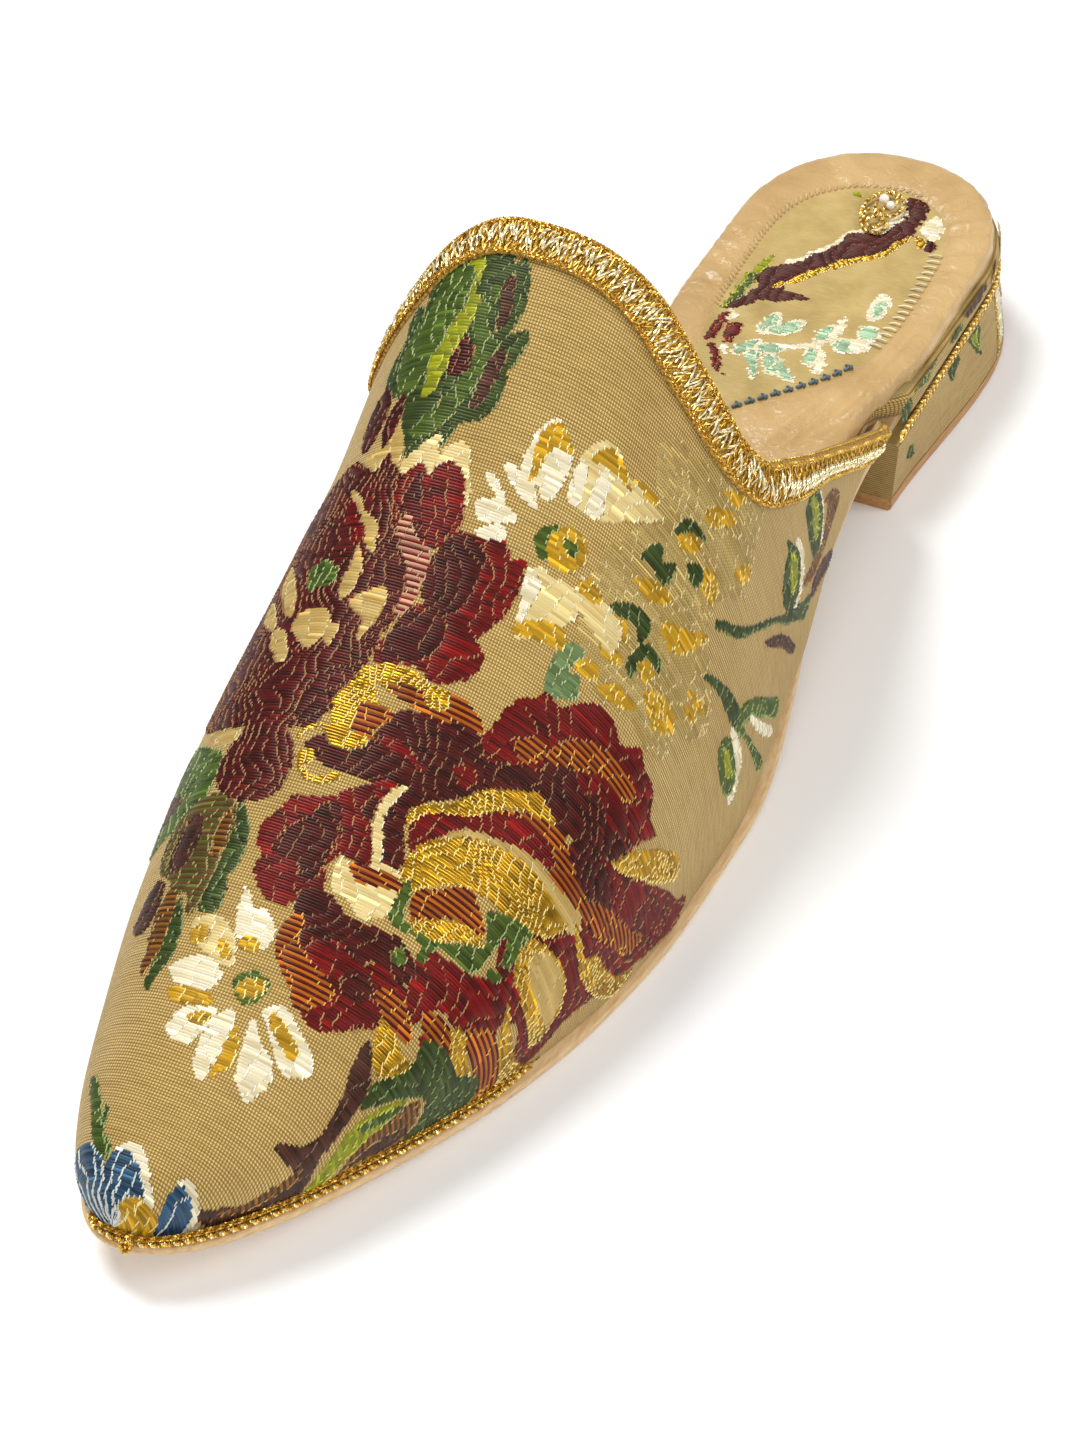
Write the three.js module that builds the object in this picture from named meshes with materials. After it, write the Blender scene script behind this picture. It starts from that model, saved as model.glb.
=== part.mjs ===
// A backless, pointed-toe brocade slipper (babouche) for the left foot, with a low covered heel.
// Millimetres, +Z up. The toe points to -Y and the outer (lateral) side of the foot is +X.
// The slipper stands on the flat of its forefoot and on its heel, both at z = 0.
// Along the shoe, "s" is the distance behind the toe tip.
import * as THREE from "three";
import { mergeVertices } from "three/addons/utils/BufferGeometryUtils.js";

// Driving dimensions
const LENGTH = 270;
const SOLE_THICK = 2.4;
const GAP = 0.3; // between two pieces that touch in the real shoe
const WALL = 1.8; // brocade, interlining and lining of the upper
const TOE_SET_BACK = 1.6; // of the upper's toe tip from the sole's
const BREAST = 199; // front face of the heel
const TOP_PIECE_THICK = 2.6;
const SEAT_SOLE_INSET = 2.2; // the sole is trimmed back round the heel seat to bed the cord
const SHANK_INSET = 2.6; // and along the waist, where the upper wraps under it
const BOARD_THICK = 2.6;
const PAD_THICK = 3.9;
const UPPER_END = 197; // the wings of the upper stop just ahead of the heel
const BRAID_WIDTH = 6.8;
const BRAID_NARROWING = 2.0; // of the braid, along the wings
const BRAID_THICK = 1.2;
const BRAID_LIFT = 0.75; // over the upper
const BRAID_REACH = 0.78; // share of the girth it covers, so that it ends above the feather line
const CORD_RADIUS = 0.9;
const TOE_CORD_RADIUS = 0.7;
const TOE_CORD_REACH = 56; // how far back from the toe tip the toe cord runs, on the lateral side

// The last, in named sizes
const BALL_WIDTH = 76; // of the sole, across the ball of the foot
const HEEL_ROUND = 240; // behind here the seat's outline closes in a round
const TOE_SPRING = 6; // height of the sole's underside at the toe tip
const SEAT_HEIGHT = 15; // the same over the front of the heel
const SEAT_SLOPE = 1.4; // and how much it still rises to the back
const INSTEP_HEIGHT = 90; // of the ridge, at the throat
const UPPER_RISE = 9; // from the feather line up to the upper's widest line
const WAIST_OVERHANG = 5; // of the upper past the sole, at the medial waist

// Sections from toe to heel: the sole's width in hundredths of the ball's, its middle line,
// and the ridge in hundredths of the instep's height.
const SECTIONS = [
  { s: 0, width: 0, middle: -11.5, ridge: 14 },
  { s: 5, width: 25, middle: -10, ridge: 21 },
  { s: 15, width: 42, middle: -8.5, ridge: 25 },
  { s: 30, width: 60, middle: -7, ridge: 31 },
  { s: 50, width: 80, middle: -5.5, ridge: 39 },
  { s: 70, width: 93, middle: -4.5, ridge: 49 },
  { s: 90, width: 99, middle: -3.5, ridge: 60 },
  { s: 112, width: 100, middle: -3, ridge: 74 },
  { s: 140, width: 90, middle: -1, ridge: 94 },
  { s: 170, width: 73, middle: 1, ridge: 100 },
  { s: 200, width: 66, middle: 2, ridge: 100 },
  { s: LENGTH, width: 66, middle: 3, ridge: 100 },
];
const FULLNESS = 0.8; // exponent of the arch: 1 is an ellipse, less is squarer

// The topline seen from the side, from over the throat down to the heel.
const TOPLINE = [
  { s: 146, z: 92 },
  { s: 141, z: 81 },
  { s: 137, z: 71 },
  { s: 136, z: 62 },
  { s: 139, z: 55 },
  { s: 147, z: 50 },
  { s: 170, z: 36 },
  { s: UPPER_END, z: 20 },
];

const smooth = (from, to, s) => THREE.MathUtils.smoothstep(s, from, to);
const alongY = (s) => s - LENGTH / 2;
// Stations are spaced by this angle, so that both ends of an outline come out round.
const bend = (s) => Math.acos(THREE.MathUtils.clamp(1 - (2 * s) / LENGTH, -1, 1));

// A smooth curve through one column of a table, which never overshoots its rows.
function column(rows, name, at = (row) => bend(row.s)) {
  const t = rows.map(at);
  const v = rows.map((row) => row[name]);
  const rise = (i) => (v[i + 1] - v[i]) / (t[i + 1] - t[i]);
  const slope = v.map((_, i) => {
    if (i === 0) return rise(0);
    if (i === v.length - 1) return rise(i - 1);
    const [a, b] = [rise(i - 1), rise(i)];
    return a * b <= 0 ? 0 : (2 * a * b) / (a + b);
  });
  return (where) => {
    const x = THREE.MathUtils.clamp(where, t[0], t[t.length - 1]);
    let i = 0;
    while (i < t.length - 2 && x > t[i + 1]) i += 1;
    const h = t[i + 1] - t[i];
    const k = (x - t[i]) / h;
    return (
      v[i] * (1 + 2 * k) * (1 - k) ** 2 +
      slope[i] * h * k * (1 - k) ** 2 +
      v[i + 1] * k * k * (3 - 2 * k) +
      slope[i + 1] * h * k * k * (k - 1)
    );
  };
}
const tableOf = (rows, names) =>
  Object.fromEntries(
    names.map((name) => {
      const curve = column(rows, name);
      return [name, (s) => curve(bend(s))];
    }),
  );
const section = tableOf(SECTIONS, ["width", "middle", "ridge"]);
const heelRound = (s) => {
  const past = THREE.MathUtils.clamp((s - HEEL_ROUND) / (LENGTH - HEEL_ROUND), 0, 1);
  return (1 - past ** 2.2) ** (1 / 2.2);
};
const halfWidth = (s) => (BALL_WIDTH * section.width(s) * heelRound(s)) / 200;

// The sole's two edges seen from above, and the height of its underside.
const plan = {
  lateral: (s) => section.middle(s) + halfWidth(s),
  medial: (s) => section.middle(s) - halfWidth(s),
  height: (s) =>
    TOE_SPRING * (1 - Math.min(s / 70, 1)) ** 1.6 +
    SEAT_HEIGHT * smooth(110, 198, s) +
    SEAT_SLOPE * THREE.MathUtils.clamp((s - 198) / (LENGTH - 198), 0, 1),
};

// The upper's widest lines, how high they are above the sole, and the ridge line.
const waist = (s) => smooth(112, 140, s) * (1 - smooth(168, 196, s));
const form = {
  lateral: (s) => plan.lateral(s) - (1.1 - 0.5 * smooth(6, 30, s)) * smooth(0, 3, s),
  medial: (s) => plan.medial(s) - 0.8 * smooth(0, 3, s) - WAIST_OVERHANG * waist(s),
  rise: (s) =>
    UPPER_RISE * (1 - 0.72 * (1 - Math.min(s / 56, 1)) ** 2) - 3 * smooth(150, 196, s),
  ridge: (s) => (INSTEP_HEIGHT * section.ridge(s)) / 100,
  lean: (s) => -11.5 + 0.5 * smooth(0, 30, s) - 1.3 * smooth(84, 140, s) + 2.8 * smooth(150, 196, s),
};
const soleTop = (s) => plan.height(s) + SOLE_THICK;
const featherZ = (s) => soleTop(s) + GAP;
// From the sole's edge in to the line where the upper meets the sole: room for the cord at the
// toe, and more along the waist, where the upper wraps under.
const ledge = (s) => 2.2 - 0.8 * smooth(56, 76, s) + 2.6 * smooth(112, 142, s);
// How far the heel's foot is drawn in from the heel seat; behind the breast it flares outwards.
const heelTaper = (s) => 0.8 - 2.7 * smooth(BREAST, 240, s) + 1.2 * smooth(262, LENGTH, s);

// Topline station as a function of height.
const toplineDown = [...TOPLINE].reverse();
const toplineAt = column(toplineDown, "s", (row) => row.z);

// A point of the upper's outer face. girth runs from -1 at the lateral feather line,
// over the ridge at 0, to 1 at the medial feather line.
function upperPoint(s, girth) {
  const side = girth < 0 ? "lateral" : "medial";
  const inwards = girth < 0 ? -1 : 1;
  const angle = (Math.PI / 2) * (1 - 2 * Math.abs(girth));
  const foot = featherZ(s);
  const widest = foot + form.rise(s);
  const edge = form[side](s);
  const y = alongY(s + TOE_SET_BACK * (1 - smooth(0, 20, s)));
  if (angle < 0) {
    // below its widest line the wall tucks in to the feather line
    const feather = plan[side](s) + ledge(s) * inwards;
    const down = 1 + Math.sin(angle);
    const tuck = (feather - edge) * smooth(0, 10, s);
    return new THREE.Vector3(edge + tuck * (1 - down) ** 2, y, foot + form.rise(s) * down);
  }
  const lean = form.lean(s);
  return new THREE.Vector3(
    lean + (edge - lean) * Math.max(0, Math.cos(angle)) ** FULLNESS,
    y,
    widest + (form.ridge(s) - widest) * Math.sin(angle),
  );
}

function upperNormal(s, girth) {
  const d = 0.02;
  const at = Math.max(s, 0.4);
  const g = THREE.MathUtils.clamp(girth, -1 + d, 1 - d);
  const along = upperPoint(at + 0.3, g).sub(upperPoint(at - 0.3, g));
  const across = upperPoint(at, g + d).sub(upperPoint(at, g - d));
  return along.cross(across).normalize();
}

// At the toe tip the two sides meet, so the wall there is turned straight back.
function wallNormal(s, girth) {
  const normal = upperNormal(s, girth);
  return s > 0 ? normal : normal.add(upperNormal(s, -girth)).normalize();
}

// Where a line of constant girth reaches the topline.
function toplineStation(girth) {
  let [low, high] = [100, UPPER_END];
  for (let i = 0; i < 40; i += 1) {
    const mid = (low + high) / 2;
    if (mid < toplineAt(upperPoint(mid, girth).z)) low = mid;
    else high = mid;
  }
  return low;
}

// Builds an indexed geometry from points and four-cornered faces.
class Surface {
  constructor() {
    this.points = [];
    this.faces = [];
  }
  add(point) {
    this.points.push(point.x, point.y, point.z);
    return this.points.length / 3 - 1;
  }
  row(points) {
    return points.map((p) => this.add(p));
  }
  quad(a, b, c, d) {
    this.faces.push(a, b, c, a, c, d);
  }
  // Joins two rows of the same length, facing left of the first row as seen going along it.
  strip(first, second) {
    for (let i = 0; i + 1 < first.length; i += 1)
      this.quad(first[i], first[i + 1], second[i + 1], second[i]);
  }
  geometry() {
    const g = new THREE.BufferGeometry();
    g.setAttribute("position", new THREE.Float32BufferAttribute(this.points, 3));
    g.setIndex(this.faces);
    return withoutSlivers(mergeVertices(g, 1e-3));
  }
}

// Drops the faces that merging has collapsed, and turns the skin to face outwards.
function withoutSlivers(g) {
  const old = g.index.array;
  let kept = [];
  for (let i = 0; i < old.length; i += 3) {
    const [a, b, c] = old.slice(i, i + 3);
    if (a !== b && b !== c && a !== c) kept.push(a, b, c);
  }
  const p = g.attributes.position;
  const corner = (i) => new THREE.Vector3().fromBufferAttribute(p, i);
  let volume = 0;
  for (let i = 0; i < kept.length; i += 3)
    volume += corner(kept[i]).dot(corner(kept[i + 1]).cross(corner(kept[i + 2])));
  if (volume < 0) {
    const turned = [];
    for (let i = 0; i < kept.length; i += 3) turned.push(kept[i], kept[i + 2], kept[i + 1]);
    kept = turned;
  }
  g.setIndex(kept);
  g.computeVertexNormals();
  return g;
}

// A shell of the upper's own form: rows run across the shoe, from the toe back to the topline.
function upperShell(across, rows, wall) {
  const skin = new Surface();
  const girths = Array.from({ length: across + 1 }, (_, i) => -1 + (2 * i) / across);
  const ends = girths.map(toplineStation);
  const layer = (depth) =>
    Array.from({ length: rows + 1 }, (_, j) => {
      const share = (j / rows) ** 1.4; // closer together at the toe
      return skin.row(
        girths.map((g, i) => {
          const s = ends[i] * share;
          return upperPoint(s, g).addScaledVector(wallNormal(s, g), -depth);
        }),
      );
    });
  const outer = layer(0);
  const inner = layer(wall);
  for (let j = 0; j < rows; j += 1) {
    skin.strip(outer[j], outer[j + 1]);
    skin.strip(inner[j + 1], inner[j]);
  }
  skin.strip(outer[rows], inner[rows]);
  const side = (grid, i) => grid.map((row) => row[i]);
  skin.strip(side(outer, 0), side(inner, 0));
  skin.strip(side(inner, across), side(outer, across));
  return skin.geometry();
}

// Walks over the upper's face from (s, girth), the given way and distance, in short steps. The
// further it goes, the nearer to the feather line it may come.
function walk(s, girth, way, distance, steps = 6) {
  let [here, g] = [s, girth];
  const reach = BRAID_REACH * (0.96 + (0.04 * distance) / BRAID_WIDTH);
  const [ds, dg] = [0.2, 0.004];
  for (let i = 0; i < steps; i += 1) {
    const p = upperPoint(here, g);
    const ps = upperPoint(here + ds, g).sub(p).divideScalar(ds);
    const pg = upperPoint(here, g + dg).sub(p).divideScalar(dg);
    const [a, b, c] = [ps.dot(ps), ps.dot(pg), pg.dot(pg)];
    const step = way.clone().multiplyScalar(distance / steps);
    const [u, v] = [step.dot(ps), step.dot(pg)];
    const det = a * c - b * b;
    here += (u * c - v * b) / det;
    g = THREE.MathUtils.clamp(g + (v * a - u * b) / det, -reach, reach);
  }
  return [here, g];
}

// The braid is a band of even width laid on the upper beside the topline.
function braidBand(count, across) {
  const skin = new Surface();
  const stops = Array.from({ length: count + 1 }, (_, i) => {
    const g = 0.96 * BRAID_REACH * (-1 + (2 * i) / count);
    return { g, s: toplineStation(g) };
  });
  const at = stops.map(({ s, g }) => upperPoint(s, g));
  const bands = Array.from({ length: across + 1 }, (_, k) =>
    stops.map(({ s, g }, i) => {
      const along = at[Math.min(i + 1, count)].clone().sub(at[Math.max(i - 1, 0)]).normalize();
      const inward = upperNormal(s, g).cross(along).normalize();
      if (inward.y > 0 && inward.z > 0) inward.negate();
      const width = BRAID_WIDTH - BRAID_NARROWING * smooth(146, 162, s);
      return walk(s, g, inward, 0.3 + (width * k) / across);
    }),
  );
  const lift = (height) =>
    bands.map((band) =>
      skin.row(band.map(([s, g]) => upperPoint(s, g).addScaledVector(upperNormal(s, g), height))),
    );
  const under = lift(BRAID_LIFT);
  const over = lift(BRAID_LIFT + BRAID_THICK);
  for (let k = 0; k < across; k += 1) {
    skin.strip(over[k], over[k + 1]);
    skin.strip(under[k + 1], under[k]);
  }
  skin.strip(under[0], over[0]);
  skin.strip(over[across], under[across]);
  const end = (grid, i) => grid.map((row) => row[i]);
  skin.strip(end(over, 0), end(under, 0));
  skin.strip(end(under, count), end(over, count));
  return skin.geometry();
}

// Stations along a slab, crowded towards both of its ends where those are round.
function stations(from, to, count, squareFront = false) {
  return Array.from({ length: count + 1 }, (_, i) => {
    const k = i / count;
    const share = squareFront ? Math.sin((k * Math.PI) / 2) : (1 - Math.cos(k * Math.PI)) / 2;
    return from + (to - from) * share;
  });
}

// A slab with the plan outline: layers list how far in from the outline each ring lies,
// and how high. inset(s) trims the whole outline.
function slab(list, inset, layers) {
  const skin = new Surface();
  const side = (name, sign, s, trim) => {
    const d = 0.4;
    const back = Math.min(s + d, LENGTH);
    const front = Math.max(s - d, 0);
    const tangent = new THREE.Vector2(plan[name](back) - plan[name](front), back - front).normalize();
    const out = new THREE.Vector2(tangent.y, -tangent.x).multiplyScalar(sign);
    return new THREE.Vector2(plan[name](s) - out.x * trim, alongY(s) - out.y * trim);
  };
  const rings = layers.map(({ trim, z }) => {
    const ring = (name, sign) =>
      skin.row(
        list.map((s) => {
          const drawnIn = inset(s) + (typeof trim === "number" ? trim : trim(s));
          const p = side(name, sign, s, drawnIn);
          const q = side(name === "lateral" ? "medial" : "lateral", -sign, s, drawnIn);
          if (s === 0 || s === LENGTH) p.add(q).divideScalar(2); // both sides meet there
          return new THREE.Vector3(p.x, p.y, z(s));
        }),
      );
    return { lateral: ring("lateral", 1), medial: ring("medial", -1) };
  });
  const last = rings.length - 1;
  const end = list.length - 1;
  for (let k = 0; k < last; k += 1) {
    skin.strip(rings[k + 1].lateral, rings[k].lateral);
    skin.strip(rings[k].medial, rings[k + 1].medial);
    for (const i of [0, end]) {
      const [a, b, c, d] = [
        rings[k].lateral[i],
        rings[k + 1].lateral[i],
        rings[k + 1].medial[i],
        rings[k].medial[i],
      ];
      if (i === 0) skin.quad(d, c, b, a);
      else skin.quad(a, b, c, d);
    }
  }
  skin.strip(rings[0].lateral, rings[0].medial);
  skin.strip(rings[last].medial, rings[last].lateral);
  return skin.geometry();
}

// A round cord laid along a list of points.
function cord(points, radius, steps) {
  const sides = 6;
  const ring = new THREE.Shape(
    Array.from({ length: sides }, (_, i) => {
      const a = (2 * Math.PI * i) / sides;
      return new THREE.Vector2(radius * Math.cos(a), radius * Math.sin(a));
    }),
  );
  const path = new THREE.CatmullRomCurve3(points, false, "centripetal");
  const g = new THREE.ExtrudeGeometry(ring, { steps, extrudePath: path, curveSegments: 1 });
  g.deleteAttribute("normal");
  g.deleteAttribute("uv");
  return withoutSlivers(mergeVertices(g, 1e-3));
}

function outsole() {
  const trim = (s) =>
    SHANK_INSET * smooth(118, 160, s) * (1 - smooth(180, BREAST, s)) +
    SEAT_SOLE_INSET * smooth(180, BREAST, s);
  const under = (s) => plan.height(s);
  const pared = (s) => 1 - smooth(120, 160, s); // its edge is thinned from below round the forefoot
  return slab(stations(0, LENGTH, 54), trim, [
    { trim: (s) => 0.9 + 0.9 * pared(s), z: under },
    { trim: 0, z: (s) => under(s) + 0.8 + 0.6 * pared(s) },
    { trim: 0, z: soleTop },
  ]);
}

function heelBlock() {
  return slab(stations(BREAST, LENGTH, 26, true), () => 0, [
    { trim: heelTaper, z: () => TOP_PIECE_THICK + GAP },
    { trim: 0, z: (s) => plan.height(s) - GAP },
  ]);
}

function heelTopPiece() {
  return slab(stations(BREAST, LENGTH, 26, true), heelTaper, [
    { trim: 0.5, z: () => 0 },
    { trim: 0, z: () => 0.5 },
    { trim: 0, z: () => TOP_PIECE_THICK },
  ]);
}

// Inside the upper the insole keeps clear of its wall; behind the wings it grows out to the
// heel seat. The pad lies higher, where the wall has already leaned out.
function insoleBoard() {
  const clearance = (s) => ledge(s) + WALL + GAP;
  const bottom = (s) => soleTop(s) + GAP;
  const inset = (s) => clearance(s) * (1 - smooth(UPPER_END + 2, BREAST + 7, s));
  return slab(stations(9, LENGTH, 70), inset, [
    { trim: 0, z: bottom },
    { trim: 0, z: (s) => bottom(s) + BOARD_THICK },
  ]);
}

function insolePad() {
  const inset = (s) => 4.7 - 0.9 * smooth(150, 190, s) - 3.8 * smooth(189, 217, s);
  const bottom = (s) => soleTop(s) + BOARD_THICK + 2 * GAP;
  return slab(stations(9, LENGTH, 46), inset, [
    { trim: 1.2, z: bottom },
    { trim: 0.1, z: (s) => bottom(s) + PAD_THICK * 0.3 },
    { trim: 0.4, z: (s) => bottom(s) + PAD_THICK * 0.65 },
    { trim: 2.0, z: (s) => bottom(s) + PAD_THICK * 0.93 },
    { trim: 4.6, z: (s) => bottom(s) + PAD_THICK },
  ]);
}

// Points round one end of the plan outline, a little outside or inside it.
function roundOutline(list, out, z) {
  const [lateral, medial] = ["lateral", "medial"].map((name, k) =>
    list.map((s) => new THREE.Vector3(plan[name](s) + (k ? -out : out), alongY(s), z(s))),
  );
  return { lateral, medial };
}

function toeCord() {
  const inset = 0.9; // from the sole's edge to the cord's middle
  const list = [1.4, 3.5, 8, 15, 24, 34, 45, TOE_CORD_REACH];
  const z = (s) => soleTop(s) + GAP + TOE_CORD_RADIUS;
  const { lateral, medial } = roundOutline(list, -inset, z);
  const nose = new THREE.Vector3(plan.lateral(0), alongY(0.4), z(0));
  const turned = medial.slice(0, 1); // it ends just round the tip on the medial side
  return cord([...lateral.reverse(), nose, ...turned], TOE_CORD_RADIUS, 48);
}

function heelCord() {
  const list = [BREAST + 0.5, 206, 216, 228, 240, 250, 258, 264, 267.6];
  const z = (s) => plan.height(s) + SOLE_THICK / 2;
  const { lateral, medial } = roundOutline(list, 0.1, z);
  const back = new THREE.Vector3(plan.lateral(LENGTH), alongY(LENGTH), z(LENGTH));
  return cord([...lateral, back, ...medial.reverse()], CORD_RADIUS, 60);
}

const finish = (color, roughness, metalness = 0) =>
  new THREE.MeshStandardMaterial({ color, roughness, metalness });
const brocade = finish(0xb9a066, 0.75);
const tanLeather = finish(0xc9a06c, 0.55);
const soleLeather = finish(0xb98a5e, 0.65);
const goldThread = finish(0xc8962e, 0.35, 0.8);

const slipper = new THREE.Group();
const pieces = {
  outsole: [outsole(), soleLeather],
  heel_top_piece: [heelTopPiece(), soleLeather],
  heel_block: [heelBlock(), brocade],
  insole_board: [insoleBoard(), brocade],
  insole_pad: [insolePad(), tanLeather],
  upper: [upperShell(44, 34, WALL), brocade],
  topline_braid: [braidBand(72, 3), goldThread],
  toe_cord: [toeCord(), goldThread],
  heel_cord: [heelCord(), goldThread],
};
for (const [name, [geometry, material]] of Object.entries(pieces)) {
  const mesh = new THREE.Mesh(geometry, material);
  mesh.name = name;
  slipper.add(mesh);
}

// The origin is under the middle of the slipper, on the plane that it stands on.
const box = new THREE.Box3().setFromObject(slipper);
const middle = box.getCenter(new THREE.Vector3());
slipper.position.set(-middle.x, -middle.y, 0);

export default slipper;
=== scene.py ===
"""A backless pointed slipper in flowered brocade, for the left foot: its cloth, threads, braid,
cords, padded insole, sole and heel. Tables are in millimetres; the model is in metres."""
import math

import bmesh
import bpy
import numpy as np
from mathutils import Matrix, Vector


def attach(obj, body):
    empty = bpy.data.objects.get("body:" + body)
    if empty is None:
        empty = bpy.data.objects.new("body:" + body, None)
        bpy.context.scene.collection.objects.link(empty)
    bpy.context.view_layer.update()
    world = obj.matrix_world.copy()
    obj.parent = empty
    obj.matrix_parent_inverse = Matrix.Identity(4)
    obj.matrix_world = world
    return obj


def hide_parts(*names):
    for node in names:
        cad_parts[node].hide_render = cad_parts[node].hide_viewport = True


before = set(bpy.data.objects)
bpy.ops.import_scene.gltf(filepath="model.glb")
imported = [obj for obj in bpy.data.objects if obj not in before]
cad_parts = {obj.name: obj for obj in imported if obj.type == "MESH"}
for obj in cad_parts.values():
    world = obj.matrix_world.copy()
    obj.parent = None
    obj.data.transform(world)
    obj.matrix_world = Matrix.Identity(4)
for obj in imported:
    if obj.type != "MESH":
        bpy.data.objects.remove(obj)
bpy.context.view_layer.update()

MM = 0.001
LENGTH = 270.0
FRAME_SHIFT = np.array([3.55, -0.35, 0.0])  # from the last's own middle line to the part's origin
SOLE_THICK = 2.4
GAP = 0.3
WALL = 1.8
TOE_SET_BACK = 1.6
UPPER_END = 197.0
BREAST = 199.0
BOARD_THICK = 2.6
PAD_THICK = 3.9
FULLNESS = 0.8
rng = np.random.default_rng(7)

# ---------------------------------------------------------------- the last's form
BALL_WIDTH = 76.0
HEEL_ROUND = 240.0  # behind here the seat's outline closes in a round
TOE_SPRING = 6.0
SEAT_HEIGHT = 15.0
SEAT_SLOPE = 1.4
INSTEP_HEIGHT = 90.0
UPPER_RISE = 9.0
WAIST_OVERHANG = 5.0
# Distance behind the toe tip, the sole's width in hundredths of the ball's, its middle line,
# and the ridge in hundredths of the instep's height.
SECTIONS = [
    (0, 0, -11.5, 14), (5, 25, -10, 21), (15, 42, -8.5, 25), (30, 60, -7, 31), (50, 80, -5.5, 39),
    (70, 93, -4.5, 49), (90, 99, -3.5, 60), (112, 100, -3, 74), (140, 90, -1, 94), (170, 73, 1, 100),
    (200, 66, 2, 100), (LENGTH, 66, 3, 100),
]
# The topline from the heel up to the throat, in side view.
TOPLINE = [
    (UPPER_END, 20), (170, 36), (147, 50), (139, 55), (136, 62), (137, 71), (141, 81), (146, 92),
]


def smooth(start, end, x):
    k = np.clip((x - start) / (end - start), 0, 1)
    return k * k * (3 - 2 * k)


def bend(s):
    return np.arccos(np.clip(1 - 2 * np.asarray(s, float) / LENGTH, -1, 1))


def curve_through(t, v):
    """A smooth curve through given values that never overshoots them."""
    t, v = np.asarray(t, float), np.asarray(v, float)
    rise = np.diff(v) / np.diff(t)
    slope = np.concatenate([rise[:1], np.zeros(len(v) - 2), rise[-1:]])
    for i in range(1, len(v) - 1):
        a, b = rise[i - 1], rise[i]
        slope[i] = 0 if a * b <= 0 else 2 * a * b / (a + b)

    def at(x):
        x = np.clip(x, t[0], t[-1])
        i = np.clip(np.searchsorted(t, x) - 1, 0, len(t) - 2)
        h = t[i + 1] - t[i]
        k = (x - t[i]) / h
        return (
            v[i] * (1 + 2 * k) * (1 - k) ** 2
            + slope[i] * h * k * (1 - k) ** 2
            + v[i + 1] * k * k * (3 - 2 * k)
            + slope[i + 1] * h * k * k * (k - 1)
        )

    return at


def along_shoe(rows, column):
    table = curve_through(bend([r[0] for r in rows]), [r[column] for r in rows])
    return lambda s: table(bend(s))


sole_width, sole_middle, ridge_share = (along_shoe(SECTIONS, k) for k in (1, 2, 3))


def half_width(s):
    """Half the sole's width, closed in a round at the back of the heel."""
    past = np.clip((s - HEEL_ROUND) / (LENGTH - HEEL_ROUND), 0, 1)
    return BALL_WIDTH * sole_width(s) / 200 * (1 - past**2.2) ** (1 / 2.2)


def sole_lateral(s):
    return sole_middle(s) + half_width(s)


def sole_medial(s):
    return sole_middle(s) - half_width(s)


def sole_height(s):
    """Height of the sole's underside: toe spring, flat forefoot, and up over the waist to the seat."""
    s = np.asarray(s, float)
    return (
        TOE_SPRING * (1 - np.minimum(s / 70, 1)) ** 1.6
        + SEAT_HEIGHT * smooth(110, 198, s)
        + SEAT_SLOPE * np.clip((s - 198) / (LENGTH - 198), 0, 1)
    )


def last_lateral(s):
    return sole_lateral(s) - (1.1 - 0.5 * smooth(6, 30, s)) * smooth(0, 3, s)


def last_medial(s):
    waist = smooth(112, 140, s) * (1 - smooth(168, 196, s))
    return sole_medial(s) - 0.8 * smooth(0, 3, s) - WAIST_OVERHANG * waist


def last_rise(s):
    return UPPER_RISE * (1 - 0.72 * (1 - np.minimum(s / 56, 1)) ** 2) - 3 * smooth(150, 196, s)


def last_ridge(s):
    return INSTEP_HEIGHT * ridge_share(s) / 100


def last_lean(s):
    return -11.5 + 0.5 * smooth(0, 30, s) - 1.3 * smooth(84, 140, s) + 2.8 * smooth(150, 196, s)


topline_station = curve_through([z for _, z in TOPLINE], [s for s, _ in TOPLINE])


def sole_top(s):
    return sole_height(s) + SOLE_THICK


def ledge(s):
    """From the sole's edge in to the feather line: room for the toe's cord, more along the waist."""
    return 2.2 - 0.8 * smooth(56, 76, s) + 2.6 * smooth(112, 142, s)


def heel_taper(s):
    """How far the heel's foot is drawn in from the heel seat; behind the breast it flares out."""
    return 0.8 - 2.7 * smooth(BREAST, 240, s) + 1.2 * smooth(262, LENGTH, s)


def upper_face(s, girth):
    """Outer face of the upper. girth is -1 at the lateral feather line, 0 on the ridge, 1 medial."""
    s, girth = np.broadcast_arrays(np.asarray(s, float), np.asarray(girth, float))
    lateral = girth < 0
    edge = np.where(lateral, last_lateral(s), last_medial(s))
    sole_edge = np.where(lateral, sole_lateral(s), sole_medial(s))
    angle = np.pi / 2 * (1 - 2 * np.abs(girth))
    foot = sole_top(s) + GAP
    rise = last_rise(s)
    y = s + TOE_SET_BACK * (1 - smooth(0, 20, s)) - LENGTH / 2
    feather = sole_edge + ledge(s) * np.where(lateral, -1, 1)
    down = 1 + np.sin(np.minimum(angle, 0))
    below = angle < 0
    x_low = edge + (feather - edge) * smooth(0, 10, s) * (1 - down) ** 2
    lean = last_lean(s)
    x_high = lean + (edge - lean) * np.maximum(0, np.cos(angle)) ** FULLNESS
    z_high = foot + rise + (last_ridge(s) - foot - rise) * np.sin(np.maximum(angle, 0))
    x, z = np.where(below, x_low, x_high), np.where(below, foot + rise * down, z_high)
    return np.stack([x, y, z], -1) + FRAME_SHIFT


def unit(v):
    return v / np.maximum(np.linalg.norm(v, axis=-1, keepdims=True), 1e-9)


def upper_normal(s, girth):
    s = np.maximum(s, 0.4)
    g = np.clip(girth, -0.98, 0.98)
    along = upper_face(s + 0.3, g) - upper_face(s - 0.3, g)
    across = upper_face(s, g + 0.02) - upper_face(s, g - 0.02)
    return unit(np.cross(along, across))


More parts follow.
